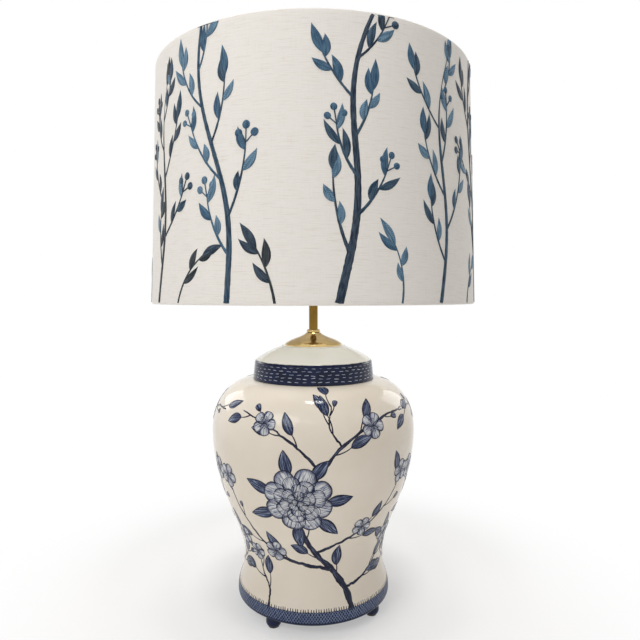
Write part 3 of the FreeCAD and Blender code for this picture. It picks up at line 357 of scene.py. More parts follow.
def run(skin, start, heading, lengths, turn=0.0):
    """Path that leaves a place at a heading and turns evenly as it goes.

    Its first row is the start. The heading is 0 to the right and a quarter turn upwards. A step to
    the side is divided by the radius there, which makes it a step in angle."""
    share = lengths / lengths[-1]
    headings = heading + turn * share
    steps = np.diff(lengths, prepend=0)
    distance = start[1] + np.cumsum(steps * np.sin(headings))
    angle = start[0] + np.cumsum(steps * np.cos(headings)) / skin.radius_at(distance)
    return np.vstack((start, np.stack((angle, distance), axis=1)))


level_run = run(jar_skin, jar_skin.spot(0, 150 * MM), 0, np.linspace(1, 100, 100) * MM)
print("A level run of 100 mm on the jar's front turns",
      round(math.degrees(level_run[-1, 0] - level_run[0, 0])), "degrees about its axis")

# %% Direction and width of a path
def heading_of(skin, path, row):
    """Heading of a path at one of its rows."""
    ahead = np.gradient(path, axis=0)[row]
    return math.atan2(ahead[1], ahead[0] * skin.radius_at(path[row, 1]))


def aside(skin, path, width):
    """Step from a path to its left side: half a width, square to the path."""
    radius = skin.radius_at(path[:, 1])
    ahead = np.gradient(path, axis=0)
    ahead[:, 0] *= radius
    ahead /= np.linalg.norm(ahead, axis=1, keepdims=True)
    return np.stack((-ahead[:, 1] / radius, ahead[:, 0]), axis=1) * width[:, None] / 2


def rounded(count):
    """Shares from 0 to 1 that crowd towards both ends, as half of 1 less a cosine."""
    return (1 - np.cos(np.linspace(0, math.pi, count))) / 2


print("Shares along a petal:", rounded(7).round(2).tolist())

# %% [markdown]
# One object for each stroke would make thousands of objects, and a curve with a bevel can't be
# flat, ragged and notched at once. So all strokes of a kind are gathered in one mesh, worked out
# as whole arrays. Strokes that cross are lifted in the painter's order, a few hundredths of a
# millimetre each, so that no two faces share a place.

# %% A mesh object
def make_mesh(name, points, faces, material):
    """A smooth mesh object at the origin, with one material."""
    mesh = bpy.data.meshes.new(name)
    mesh.from_pydata(points, [], faces)
    mesh.polygons.foreach_set("use_smooth", np.ones(len(mesh.polygons), bool))
    mesh.materials.append(material)
    piece = bpy.data.objects.new(name, mesh)
    bpy.context.scene.collection.objects.link(piece)
    return piece


# %% Strokes as one mesh
LAYER = 0.03 * MM           # lift from one layer of strokes to the next
LEAST_WIDTH = 0.15 * MM     # no stroke ends in a point without faces


class Strokes:
    """Closed flat tubes on a skin, gathered into one piece."""

    def __init__(self, skin, rise, seed, corners=8):
        self.skin, self.rise = skin, rise
        self.turn = np.linspace(0, 2 * math.pi, corners, endpoint=False)
        self.points, self.faces, self.shares, self.sizes, self.tints = [], [], [], [], []
        self.count = 0
        self.random = np.random.default_rng(seed)

    def add(self, path, width, tint, layer=0, notch=0.0):
        """One stroke. Its section is an oval: the cosine of a turn across, the sine upwards.

        A notch draws the middle of the far end back, as in a heart-shaped petal."""
        width = np.maximum(np.broadcast_to(width, len(path)), LEAST_WIDTH)
        rows, corners = len(path), len(self.turn)
        across, upward = np.cos(self.turn), np.sin(self.turn)
        side = aside(self.skin, path, width)
        spots = path[:, None, :] + side[:, None, :] * across[None, :, None]
        radius = self.skin.radius_at(path[:, 1])
        step = np.hypot(np.diff(path[:, 0]) * radius[1:], np.diff(path[:, 1]))
        along = np.concatenate(([0], np.cumsum(step)))
        share = along / along[-1]
        if notch:
            back = notch * along[-1] * share ** 3
            ahead = np.gradient(path, along, axis=0)
            spots -= (ahead * back[:, None])[:, None, :] * (1 - across ** 2)[None, :, None]
        rise = self.rise * np.sqrt(width / width.max())
        lift = layer * LAYER + rise[:, None] * upward[None, :]
        self.points.append(self.skin.place(spots[..., 0], spots[..., 1], lift).reshape(-1, 3))
        grid = np.ones((rows, corners))
        seed = grid * self.random.random()
        shares = np.stack((grid * share[:, None], grid * across, seed), axis=-1)
        sizes = np.stack((grid * along[:, None], across * width[:, None] / 2, seed), axis=-1)
        self.shares.append(shares.reshape(-1, 3))
        self.sizes.append(sizes.reshape(-1, 3))
        self.tints.append(np.tile(tint, (rows * corners, 1)))
        index = self.count + np.arange(rows * corners).reshape(rows, corners)
        following = np.roll(index, -1, axis=1)
        walls = np.stack((index[:-1], following[:-1], following[1:], index[1:]), axis=-1)
        self.faces += walls.reshape(-1, 4).tolist()
        self.faces += [index[0, ::-1].tolist(), index[-1].tolist()]
        self.count += rows * corners

    def make(self, name, material, body):
        """Turn the strokes into one piece that rides on a body."""
        piece = make_mesh(name, np.vstack(self.points).tolist(), self.faces, material)
        for attribute, kind, values in (("share", "FLOAT_VECTOR", self.shares),
                                        ("size", "FLOAT_VECTOR", self.sizes),
                                        ("tint", "FLOAT_COLOR", self.tints)):
            layer = piece.data.attributes.new(attribute, kind, "POINT")
            field = "color" if kind == "FLOAT_COLOR" else "vector"
            layer.data.foreach_set(field, np.vstack(values).astype(np.float32).ravel())
        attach(piece, body)
        print(f"{name}: {len(self.points)} strokes, {len(piece.data.polygons)} faces")
        return piece


print("Layers of strokes lie", LAYER / MM, "mm apart")

# %% [markdown]
# ## Glaze
#
# The jar is earthenware under a warm white tin glaze. A glaze is glass: light enters it, meets
# the clay, and the surface itself mirrors the room. So the colour is a dull base with a clear
# coat over it. Three things keep it from looking like plastic: the tone drifts over a few
# centimetres where the glaze ran thicker, faint level lines remain from the throwing wheel, and
# the coat isn't quite even.

# %% Glaze materials
# A fired glaze has an IOR near 1.5. The coat's 1.33 is matched to the milder mirrors of this jar.
GLASS = {"Roughness": 0.5, "Specular_IOR_Level": 0.0, "Coat_Weight": 1.0, "Coat_Roughness": 0.05,
         "Coat_IOR": 1.33}
THROWING_LINE = 2.4       # height of a throwing line, mm
LINE_LENGTH = 160         # length over which a throwing line fades and returns, mm
LINE_DEPTH = 0.12 * MM
DRIFT = 55                # size of the changes in the glaze's tone, mm
BRUSH_MARK = 9            # size of the brush's marks in a band, mm
BAND_STRAY = 1.2 * MM     # how far the edge of a band strays
BAND_EDGE = 0.8 * MM      # height over which it fades


def glazed(name, ground, deeper, bands=()):
    """Tin glaze with painted bands. A band is its lower and upper height and its two blues."""
    material, tree, shader = new_material(name, **GLASS)
    place = add(tree, "TexCoord", {}).outputs["Object"]
    drift = add(tree, "TexNoise", {"Vector": place, "Scale": per(DRIFT), "Detail": 3})
    tone = add(tree, "MixRGB", {"Fac": drift, "Color1": colour(ground), "Color2": colour(deeper)})
    stretch = add(tree, "Mapping", {
        "Vector": place, "Scale": (per(LINE_LENGTH), per(LINE_LENGTH), per(THROWING_LINE))})
    lines = add(tree, "TexNoise", {"Vector": stretch, "Scale": 1, "Detail": 2})
    height = add(tree, "SeparateXYZ", {"Vector": place}).outputs["Z"]
    brush = add(tree, "TexNoise", {"Vector": place, "Scale": per(BRUSH_MARK), "Detail": 4})
    wobble = add(tree, "Math", {0: brush, 1: BAND_STRAY, 2: height}, operation="MULTIPLY_ADD")
    for low, high, dark, light in bands:
        above = add(tree, "MapRange", {
            "Value": wobble, "From Min": low, "From Max": low + BAND_EDGE})
        below = add(tree, "MapRange", {
            "Value": wobble, "From Min": high, "From Max": high - BAND_EDGE})
        inside = add(tree, "Math", {0: above, 1: below}, operation="MULTIPLY")
        pool = add(tree, "MapRange", {"Value": brush, "From Min": 0.35, "From Max": 0.65})
        blue = add(tree, "MixRGB", {"Fac": pool, "Color1": colour(dark), "Color2": colour(light)})
        tone = add(tree, "MixRGB", {"Fac": inside, "Color1": tone, "Color2": blue})
    tree.links.new(tone.outputs[0], shader.inputs["Base Color"])
    bump = add(tree, "Bump", {"Height": lines, "Strength": 0.5, "Distance": LINE_DEPTH})
    tree.links.new(bump.outputs[0], shader.inputs["Normal"])
    tree.links.new(bump.outputs[0], shader.inputs["Coat Normal"])
    return material


# A band's lower edge lies below the part, so that the stray edge doesn't show there.
BASE_BAND_LOW, BASE_BAND_HIGH = JAR_FOOT - 2 * MM, JAR_FOOT + 17.5 * MM
FOOT_STRIP_HIGH = BASE_BAND_LOW + 4 * MM
LID_BAND_LOW, LID_BAND_HIGH = LID_SEAT - 5 * MM, LID_SEAT + 25.6 * MM
jar_glaze = glazed("tin glaze on the jar", "#EFE7DA", "#E1D6C6", bands=(
    (BASE_BAND_LOW, BASE_BAND_HIGH, "#101A38", "#192548"),
    (BASE_BAND_LOW, FOOT_STRIP_HIGH, "#0E142E", "#151C3B")))
# The lid's glaze is whiter and less warm than the jar's, and also painted lighter to offset the
# shade that the lampshade casts on it.
lid_glaze_painted_lighter = glazed("tin glaze on the lid", "#F3F2E9", "#EAE8DC", bands=(
    (LID_BAND_LOW, LID_BAND_HIGH, "#061030", "#0D1A42"),))
foot_glaze = glazed("cobalt glaze on the feet", "#141B3A", "#1E2850")
print("Glaze materials:", jar_glaze.name, "/", lid_glaze_painted_lighter.name, "/", foot_glaze.name)

# %% [markdown]
# Cobalt oxide is brushed on and then lies under the same glass. Where the brush carried much
# pigment it is nearly black, and where it ran dry the bristles leave pale streaks along the
# stroke. The paints below read a stroke's own share and size, so their streaks follow the hand.

# %% Cobalt paints
STREAK_LENGTH, STREAK_WIDTH = 14, 0.7     # mm
OWN_NOISE = 40                            # moves each stroke, by its seed, to a noise of its own
DRY_FROM, DRY_TO = 0.62, 0.78             # noise between which a damp brush runs dry
EDGE_FROM, EDGE_TO = 0.25, 0.9            # squared share across, where pigment gathers at an edge
ROOT_REACH = 0.7                          # share of a stroke over which its root grows paler


def cobalt(name, dark, light, dryness, fringe):
    """Brushed cobalt under glaze. Bristle streaks run along the stroke, and pigment gathers at its
    edges and its root."""
    material, tree, shader = new_material(name, **GLASS)
    shares = add(tree, "Attribute", {}, attribute_name="share").outputs["Vector"]
    share = add(tree, "SeparateXYZ", {"Vector": shares})
    size = add(tree, "Attribute", {}, attribute_name="size").outputs["Vector"]
    stretch = add(tree, "Mapping", {
        "Vector": size, "Scale": (per(STREAK_LENGTH), per(STREAK_WIDTH), OWN_NOISE)})
    streaks = add(tree, "TexNoise", {"Vector": stretch, "Scale": 1, "Detail": 3})
    dry = add(tree, "MapRange", {
        "Value": streaks, "From Min": DRY_FROM - dryness, "From Max": DRY_TO - dryness})
    edge = add(tree, "Math", {0: share.outputs["Y"], 1: 2}, operation="POWER")
    rim = add(tree, "MapRange", {"Value": edge, "From Min": EDGE_FROM, "From Max": EDGE_TO,
                                 "To Min": 1, "To Max": 1 - fringe})
    inner = add(tree, "Math", {0: dry, 1: rim}, operation="MULTIPLY")
    root = add(tree, "MapRange", {"Value": share.outputs["X"], "From Min": 0,
                                  "From Max": ROOT_REACH, "To Min": 1 - fringe, "To Max": 1})
    pale = add(tree, "Math", {0: inner, 1: root}, operation="MULTIPLY")
    tint = add(tree, "Attribute", {}, attribute_name="tint").outputs["Color"]
    full = add(tree, "MixRGB", {"Fac": pale, "Color1": colour(dark), "Color2": colour(light)})
    tinted = add(tree, "MixRGB", {"Fac": 1, "Color1": full, "Color2": tint}, blend_type="MULTIPLY")
    tree.links.new(tinted.outputs[0], shader.inputs["Base Color"])
    return material


line_paint = cobalt("cobalt line under glaze", "#0E1430", "#7480A4", dryness=0.06, fringe=0.7)
leaf_paint = cobalt("cobalt leaf under glaze", "#19264C", "#A3B2CC", dryness=0.13, fringe=0.75)
petal_paint = cobalt("pale cobalt wash under glaze", "#2A3C6C", "#D6D8DA", dryness=0.24,
                     fringe=0.8)
dash_paint = cobalt("slip dashes on the band", "#6C7E9F", "#C9D2DF", dryness=0.25, fringe=0.3)
PLAIN = (1.0, 1.0, 1.0, 1.0)     # tint of a stroke that keeps its paint's own colour
print("Paints:", line_paint.name, "/", leaf_paint.name, "/", petal_paint.name)

# %% [markdown]
# ## The painting on the jar
#
# Blue-and-white jars are often painted with flowering boughs. This one has three boughs round the
# jar, each with an open peony, plum blossoms, buds and pointed leaves. The painter's order is
# kept: boughs first, then leaves, then the washes of the petals, then the dark outlines. Each
# bough is a short list of given places, and the flowers grow from formulas.

# %% Leaves and petals
LEAF_ROWS, RIB_ROWS, PETAL_ROWS, DOT_ROWS = 15, 11, 13, 7
LEAF_LINE, RIB_LINE, PETAL_LINE = 1.1 * MM, 0.8 * MM, 0.8 * MM     # widths of the dark lines


def blade(fill, line, start, heading, length, width, turn, layer):
    """Pointed leaf: its width is the sine of the share along it, fuller near the stalk."""
    share = rounded(LEAF_ROWS)
    path = run(fill.skin, start, heading, share[1:] * length, turn)
    shape = width * np.sin(math.pi * share ** 0.8) ** 0.9
    fill.add(path, shape, PLAIN, layer)
    side = aside(fill.skin, path, shape)
    for edge in (path + side, path - side):
        line.add(edge, LEAF_LINE * (0.5 + np.sin(math.pi * share)), PLAIN, layer + 2)
    line.add(path[:RIB_ROWS], RIB_LINE * (1.2 - share[:RIB_ROWS]), PLAIN, layer + 2)


def petal(fill, line, start, heading, length, width, layer, notch, tint=PLAIN):
    """Petal: its width grows as the square root of the share along it and closes in a round end."""
    share = rounded(PETAL_ROWS)
    path = run(fill.skin, start, heading, share[1:] * length)
    shape = width * 1.1 * np.sqrt(share) * np.sqrt(1 - share ** 5)
    fill.add(path, shape, tint, layer, notch)
    side = aside(fill.skin, path, np.maximum(shape, 0.3 * MM))
    outline = np.vstack(((path + side)[:-1], (path - side)[::-1]))
    sway = np.abs(np.sin(np.linspace(0.4, 2 * math.pi + 0.4, len(outline))))
    line.add(outline, PETAL_LINE * (0.6 + 0.8 * sway), PLAIN, layer + 1)


def dot(line, start, size, layer):
    """Round dab of the brush: its width is a half circle on its length."""
    share = rounded(DOT_ROWS)
    path = run(line.skin, start, math.pi / 2, share[1:] * size)
    line.add(path, 2 * size * np.sqrt(share * (1 - share)), PLAIN, layer)


widest = np.argmax(np.sin(math.pi * rounded(LEAF_ROWS) ** 0.8))
print("A leaf is widest at", round(rounded(LEAF_ROWS)[widest], 2), "of its length")

# %% [markdown]
# ### Flowers
#
# A plum blossom is five round petals and a few stamens, and a peony is rings of notched petals.
# They could be traced from a pattern book. Grown by rule from a middle, a flower can be set
# anywhere and at any size, and a little chance in each petal keeps it from looking stamped.

# %% Blossoms and buds
BLOSSOM_PETALS, STAMENS = 5, 7
STAMEN_LINE, STAMEN_DOT, MIDDLE_DOT, CUP_LINE = 0.5 * MM, 1.5 * MM, 2.4 * MM, 1.6 * MM


def blossom(fill, line, middle, size, turn, layer):
    """Plum blossom: five round petals, with stamens that end in dots."""
    for number in range(BLOSSOM_PETALS):
        heading = turn + number * 2 * math.pi / BLOSSOM_PETALS
        petal(fill, line, middle, heading, size / 2, size * 0.5, layer, notch=0.08)
    for number in range(STAMENS):
        heading = turn + 0.35 + number * 2 * math.pi / STAMENS
        stamen = run(fill.skin, middle, heading, np.linspace(0.1, 1, 4) * size * 0.24)
        line.add(stamen, STAMEN_LINE, PLAIN, layer + 3)
        dot(line, stamen[-1], STAMEN_DOT, layer + 3)
    dot(line, middle - (0, MIDDLE_DOT / 2), MIDDLE_DOT, layer + 4)


def bud(fill, line, start, heading, size, layer):
    """Closed bud: a round petal between two small leaves that hold it."""
    petal(fill, line, start, heading, size, size * 0.75, layer, notch=0.0)
    reach = rounded(6)[1:] * size * 0.5
    for side in (-1, 1):
        cup = run(fill.skin, start, heading + side * 0.75, reach, -side * 0.9)
        swell = np.sin(math.pi * np.linspace(0.25, 0.95, len(cup)))
        line.add(cup, CUP_LINE * swell, PLAIN, layer + 3)


print("A blossom has", BLOSSOM_PETALS, "petals and", STAMENS, "stamens")

# %% Peony
PEONY_RINGS = (
    # petals, length and width as shares of the bloom's radius, lightness of the wash
    (8, 1.00, 0.76, 1.00),
    (7, 0.74, 0.62, 0.97),
    (6, 0.52, 0.50, 0.93),
    (5, 0.33, 0.36, 0.86),
    (3, 0.18, 0.24, 0.75),
)


def peony(fill, line, middle, size, layer, random):
    """Open peony: rings of notched petals, each ring shorter and darker and over the one before."""
    for ring, (count, length, width, light) in enumerate(PEONY_RINGS):
        start_turn = random.uniform(0, 2 * math.pi)
        for number in range(count):
            heading = start_turn + (number + random.uniform(-0.12, 0.12)) * 2 * math.pi / count
            reach = size / 2 * length * random.uniform(0.93, 1.07)
            petal(fill, line, middle, heading, reach, size / 2 * width * random.uniform(0.92, 1.1),
                  layer + 2 * ring + 0.2 * (number % 2), notch=random.uniform(0.05, 0.16),
                  tint=(light, light, light, 1))


print("A peony has", sum(ring[0] for ring in PEONY_RINGS), "petals in", len(PEONY_RINGS), "rings")

# %% [markdown]
# ### Boughs
#
# A painted bough thickens at its knots and changes course in small kinks, because the brush is
# pressed and turned on its way. A smooth curve through a few places gives the course, and chance
# gives the kinks. Twigs and leaves then start from the curve, wherever it runs, while the flowers
# have places of their own, so that the design stays balanced.

# %% Places of the painting
BOUGHS = (
    # places as degrees from the bough's middle and millimetres above the table, then widths in mm
    (((28, 27), (24, 52), (13, 78), (1, 100), (-7, 128), (-8, 150)), 8.0, 5.5),
    (((-6, 172), (4, 204), (14, 232), (30, 252), (46, 262), (60, 262)), 5.0, 2.0),
    (((13, 78), (-6, 84), (-25, 94), (-40, 116), (-49, 146), (-53, 178)), 5.2, 1.7),
    (((1, 100), (17, 112), (33, 128), (47, 152), (55, 182)), 4.4, 1.6),
    (((4, 204), (-8, 232), (-24, 254), (-42, 266)), 3.6, 1.4),
    (((14, 232), (8, 254), (10, 274)), 2.4, 1.2),
    (((24, 52), (40, 60), (54, 76), (62, 100)), 4.0, 1.4),
    (((-33, 28), (-35, 48), (-42, 68), (-44, 84)), 3.2, 1.3),
)
BLOSSOMS = (
    # degrees, height in mm, size in mm
    (-53, 186, 30), (-27, 99, 27), (55, 190, 29), (31, 130, 25), (-26, 256, 28), (32, 252, 30),
    (62, 106, 26), (-45, 90, 22),
)
BLOOM_PLACE, BLOOM_SIZE = (-8, 170), 80 * MM
# turn of each bough round the jar in degrees, and 1, or -1 for a mirrored one
SIDES = ((0, 1), (121, -1), (-119, 1))
print(len(BOUGHS), "stretches of bough and", len(BLOSSOMS), "blossoms,", len(SIDES), "times")

# %% Paint the boughs
CURVE_STEPS = 9
KINK = 0.3 * MM          # spread of the kinks
KNOT = 0.22              # share by which a bough swells at a knot
PEONY_LEAVES = 7


def paint_bough(boughs, leaves, lines, turn, mirror, random):
    """Boughs with knots and kinks, and twigs that carry leaves and buds by turns."""
    skin = boughs.skin
    for places, root, tip in BOUGHS:
        spots = [skin.spot(turn + mirror * degrees, height * MM) for degrees, height in places]
        path = smooth(spots, CURVE_STEPS)
        rows = len(path)
        share = np.linspace(0, 1, rows)
        kinks = random.normal(0, KINK, (rows - 2, 2))
        kinks[:, 0] /= skin.radius_at(path[1:-1, 1])
        path[1:-1] += kinks
        swell = KNOT * np.sin(share * rows * 0.9 + random.uniform(0, 6))
        knots = 1 + swell * random.uniform(0.3, 1, rows)
        boughs.add(path, (root + (tip - root) * share) * MM * knots, PLAIN)
        # a twig at every fifth of the bough, from its first third on
        for number, row in enumerate(range(rows // 3, rows, max(rows // 5, 4))):
            side = 1 if number % 2 else -1
            heading = heading_of(skin, path, row) + side * random.uniform(0.6, 1.0)
            length = random.uniform(12, 22) * MM
            twig = run(skin, path[row], heading, np.linspace(0.1, 1, 8) * length, -side * 0.5)
            boughs.add(twig, np.linspace(1.8, 1.1, len(twig)) * MM, PLAIN, 1)
            onward = heading - side * 0.5
            if number % 3 == 2:
                bud(leaves, lines, twig[-1], onward, random.uniform(8, 11) * MM, 3)
            else:
                blade(leaves, lines, twig[-1], onward, random.uniform(22, 30) * MM,
                      random.uniform(9, 12) * MM, side * 0.4, 3)


def paint_jar():
    """Paint all the boughs, then their flowers, and make the pieces."""
    boughs = Strokes(jar_skin, rise=0.22 * MM, seed=3)
    leaves = Strokes(jar_skin, rise=0.14 * MM, seed=4)
    petals = Strokes(jar_skin, rise=0.14 * MM, seed=5)
    lines = Strokes(jar_skin, rise=0.18 * MM, corners=6, seed=6)
    random = np.random.default_rng(11)
    for turn, mirror in SIDES:
        paint_bough(boughs, leaves, lines, turn, mirror, random)
        middle = jar_skin.spot(turn + mirror * BLOOM_PLACE[0], BLOOM_PLACE[1] * MM)
        for number in range(PEONY_LEAVES):
            heading = number * 2 * math.pi / PEONY_LEAVES + random.uniform(-0.2, 0.2)
            start = run(jar_skin, middle, heading, np.array([BLOOM_SIZE * 0.4]))[-1]
            blade(leaves, lines, start, heading, random.uniform(26, 36) * MM, 14 * MM,
                  random.uniform(-0.5, 0.5), 4)
        peony(petals, lines, middle, BLOOM_SIZE, 8, random)
        for degrees, height, size in BLOSSOMS:
            blossom(petals, lines, jar_skin.spot(turn + mirror * degrees, height * MM), size * MM,
                    random.uniform(0, 6), 8)
    boughs.make("painted_boughs", line_paint, "root")
    leaves.make("painted_leaves", leaf_paint, "root")
    petals.make("painted_petals", petal_paint, "root")
    lines.make("painted_lines", line_paint, "root")


paint_jar()

# %% [markdown]
# ## Bands
#
# The lid's rim is a dark band with rows of short pale dashes, and the base has a lighter blue
# band with a crossed hatching and a comb of ticks along its upper edge. Both are drawn stroke by
# stroke. A repeated texture would be quicker, but no two dashes of a hand are alike.

# %% Dashes on the lid
DASH_ROWS = (21.0, 16.9, 12.8, 8.7, 4.6)      # heights above the lid's edge, mm
DASHES_ROUND = 52
DASH_TAPER = np.sin(math.pi * np.linspace(0.12, 0.92, 6)) ** 0.6


def dash_the_lid():
    """Rows of dashes. Each row starts at its own angle, each dash has its own length and tilt."""
    dashes = Strokes(lid_skin, rise=0.16 * MM, corners=6, seed=21)
    random = np.random.default_rng(21)
    for row, height in enumerate(DASH_ROWS):
        start_turn = random.uniform(0, 1)
        loose = 0.3 + 0.7 * (row > 0)
        for number in range(DASHES_ROUND):
            turn = (number + start_turn + random.uniform(-0.12, 0.12) * loose) * 360 / DASHES_ROUND
            level = height + random.uniform(-0.5, 0.5) * loose
            start = lid_skin.spot(turn, LID_SEAT + level * MM)
            length = random.uniform(4.4, 6.0) * MM
            path = run(lid_skin, start, random.uniform(-0.09, 0.09) * loose,
                       rounded(6)[1:] * length, random.uniform(-0.2, 0.2))
            dashes.add(path, random.uniform(0.65, 0.9) * MM * DASH_TAPER, PLAIN)
    dashes.make("lid_dashes", dash_paint, "root")


dash_the_lid()

# %% [markdown]
# The band on the base is crossed all round by pale lines, and above it stands a comb of dark
# ticks, each pulled upwards with the tip of the brush. A checked texture would have no thickness.
# Strokes follow the jar's curve and catch the light on their edges.

# %% Hatching on the base
HATCH_COUNT = 180        # lines round the jar, each way
HATCH_LEAN = 0.95        # radians from level
COMB_COUNT = 200         # ticks round the jar


def hatch_the_base():
    """Two leaning sets of pale lines that cross, and dark ticks that stand on the band's edge."""
    hatching = Strokes(jar_skin, rise=0.12 * MM, corners=4, seed=31)
    comb = Strokes(jar_skin, rise=0.15 * MM, corners=4, seed=32)
    random = np.random.default_rng(31)
    low, high = FOOT_STRIP_HIGH, BASE_BAND_HIGH - 1 * MM
    for lean, layer in ((HATCH_LEAN, 1), (math.pi - HATCH_LEAN, 2)):
        for number in range(HATCH_COUNT):
            turn = (number + random.uniform(-0.06, 0.06)) * 360 / HATCH_COUNT
            start = jar_skin.spot(turn, low)
            length = (high - low) / math.sin(HATCH_LEAN) * random.uniform(0.94, 1.0)
            path = run(jar_skin, start, lean + random.uniform(-0.02, 0.02),
                       np.linspace(0.2, 1, 5) * length)
            hatching.add(path, random.uniform(0.7, 0.9) * MM, PLAIN, layer)
    for number in range(COMB_COUNT):
        turn = (number + random.uniform(-0.2, 0.2)) * 360 / COMB_COUNT
        start = jar_skin.spot(turn, BASE_BAND_HIGH - 1.5 * MM)
        length = random.uniform(3.2, 4.4) * MM
        path = run(jar_skin, start, math.pi / 2 + random.uniform(-0.12, 0.12),
                   np.linspace(0.2, 1, 5) * length)
        comb.add(path, np.linspace(1.5, 0.8, len(path)) * MM, PLAIN)
    hatching.make("base_hatching", hatch_paint, "root")
    comb.make("base_comb", line_paint, "root")


hatch_paint = cobalt("pale hatching on the base", "#4C5C86", "#8595B6", dryness=0.25, fringe=0.3)
hatch_the_base()

# %% [markdown]
# ## Linen
#
# The shade's cover is a strip of slubby linen glued to a stiff liner and turned in over two wire
# rings. Cloth simulation has nothing to do here, because the cloth is stretched tight. So it is a
# closed turned sheet: its outline goes up inside the lower ring, round the rim, up the cone, over
# the upper rim and down inside, and comes back one cloth's thickness further in. The strip's ends
# overlap at the back.

# %% Outline of the cloth
CLOTH = 0.7 * MM            # thickness of the linen
HEM = 7 * MM                # height of the cloth behind a ring
RIM_ROUND = 1.6 * MM        # radius with which it goes round a rim
HEM_SLACK = 0.15 * MM       # air between ring and hem
RING_LOW, RING_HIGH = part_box("bottom_ring")
LOW_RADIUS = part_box("shade_fabric")[1].x
HIGH_RADIUS = LOW_RADIUS - (LOW_RADIUS - shade_skin.radius[-1]) * (shade_high - shade_low) / (
    shade_high - RIM_CLEAR - shade_low)
HEM_DEPTH = LOW_RADIUS - RING_HIGH.x + (RING_HIGH.z - RING_LOW.z) + CLOTH + HEM_SLACK


def quarter(middle, start):
    """Quarter circle of the rim, anticlockwise from an angle, as radius and height."""
    turn = start + np.linspace(0, math.pi / 2, 6)
    return np.array(middle) + RIM_ROUND * np.stack((np.cos(turn), np.sin(turn)), axis=1)


def cloth_outline():
    """Closed outline of the cloth as radius and height: up on its outer face, back on its inner.

    The inner face lies a cloth's thickness to the left of the way along the outer face."""
    inside, outside = LOW_RADIUS - HEM_DEPTH, LOW_RADIUS
    top_inside = HIGH_RADIUS - HEM_DEPTH
    wall = np.linspace(0, 1, 60)[1:-1, None]
    rise = np.array((outside, shade_low + RIM_ROUND)) * (1 - wall) + np.array(
        (HIGH_RADIUS, shade_high - RIM_ROUND)) * wall
    face = np.vstack((
        [(inside, shade_low + HEM), (inside, shade_low + HEM / 2)],
        quarter((inside + RIM_ROUND, shade_low + RIM_ROUND), math.pi),
        quarter((outside - RIM_ROUND, shade_low + RIM_ROUND), 1.5 * math.pi),
        rise,
        quarter((HIGH_RADIUS - RIM_ROUND, shade_high - RIM_ROUND), 0),
        quarter((top_inside + RIM_ROUND, shade_high - RIM_ROUND), math.pi / 2),
        [(top_inside, shade_high - HEM / 2), (top_inside, shade_high - HEM)],
    ))
    ahead = np.gradient(face, axis=0)
    ahead /= np.linalg.norm(ahead, axis=1, keepdims=True)
    back = face + np.stack((-ahead[:, 1], ahead[:, 0]), axis=1) * CLOTH
    return np.vstack((face, back[::-1]))


print("The outline of the cloth has", len(cloth_outline()), "corners, and its hems are",
      round(HEM_DEPTH / MM, 1), "mm deep")

# %% [markdown]
# Blender's Spin or Screw could turn the outline about the axis. Worked out on a grid, the cloth
# can also stand proud at the back, where its ends overlap, and sag by a hair between its glued
# places. The same grid gives the map in metres that the weave below is drawn on.

# %% Turn the outline
OVERLAP = 12 * MM
OVERLAP_PROUD = 0.45 * MM
SAG = 0.12 * MM
COLUMNS = 360


def make_linen(material):
    """Turn the closed outline about the axis, from the middle of the overlap at the back."""
    outline = cloth_outline()
    rows, number = len(outline), np.arange(COLUMNS)
    turn = math.pi / 2 + np.linspace(0, 2 * math.pi, COLUMNS, endpoint=False)
    beside = np.abs((number + COLUMNS / 2) % COLUMNS - COLUMNS / 2) / COLUMNS * 2 * math.pi
    proud = OVERLAP_PROUD * (beside * LOW_RADIUS < OVERLAP / 2)
    sag = SAG * (np.sin(5 * turn + 1) + np.sin(9 * turn) * 0.6)
    radius = outline[:, :1] + proud[None, :] + sag[None, :]
    height = np.repeat(outline[:, 1:], COLUMNS, axis=1)
    points = np.stack((radius * np.cos(turn), radius * np.sin(turn), height), axis=-1)
    index = np.arange(rows * COLUMNS).reshape(rows, COLUMNS)
    right, above = np.roll(index, -1, axis=1), np.roll(index, -1, axis=0)
    faces = np.stack((index, right, np.roll(above, -1, axis=1), above), axis=-1).reshape(-1, 4)
    piece = make_mesh("linen_cover", points.reshape(-1, 3).tolist(), faces.tolist(), material)
    map_in_metres(piece, outline)
    return piece


def map_in_metres(piece, outline):
    """Map of the cloth, laid flat: the way round at the lower rim and along the outline."""
    step = np.hypot(*np.diff(outline, axis=0, append=outline[:1]).T)
    along = np.concatenate(([0], np.cumsum(step)))
    lower, upper = along[:-1, None], along[1:, None]
    left = np.arange(COLUMNS)[None, :] / COLUMNS * 2 * math.pi * LOW_RADIUS
    right = left + 2 * math.pi * LOW_RADIUS / COLUMNS
    grid = np.ones((len(outline), COLUMNS))
    corners = np.stack([
        np.stack((side * grid, end * grid), axis=-1)
        for side, end in ((left, lower), (right, lower), (right, upper), (left, upper))], axis=2)
    layer = piece.data.uv_layers.new(name="metres")
    layer.data.foreach_set("uv", corners.astype(np.float32).ravel())


print("The cloth is turned in", COLUMNS, "steps of",
      round(2 * math.pi * LOW_RADIUS / COLUMNS / MM, 1), "mm")

# %% [markdown]
# Linen yarn is spun from fibres of uneven length, so each thread swells here and there. Those
# slubs show as short level lines. The weave itself has two threads to the millimetre, too fine
# for this distance, so it is drawn at three times its size and kept faint. The cloth map is in
# metres, so every size below is a real one.

# %% Linen material
SLUB_LENGTH, SLUB_HEIGHT = 24, 0.8       # mm
YARN = 1.5                               # mm, drawn three times too coarse so that it shows
WARP_LENGTH, WEFT_LENGTH = 18, 9         # mm over which a yarn keeps its thickness
WEAVE_DEPTH = 0.18 * MM


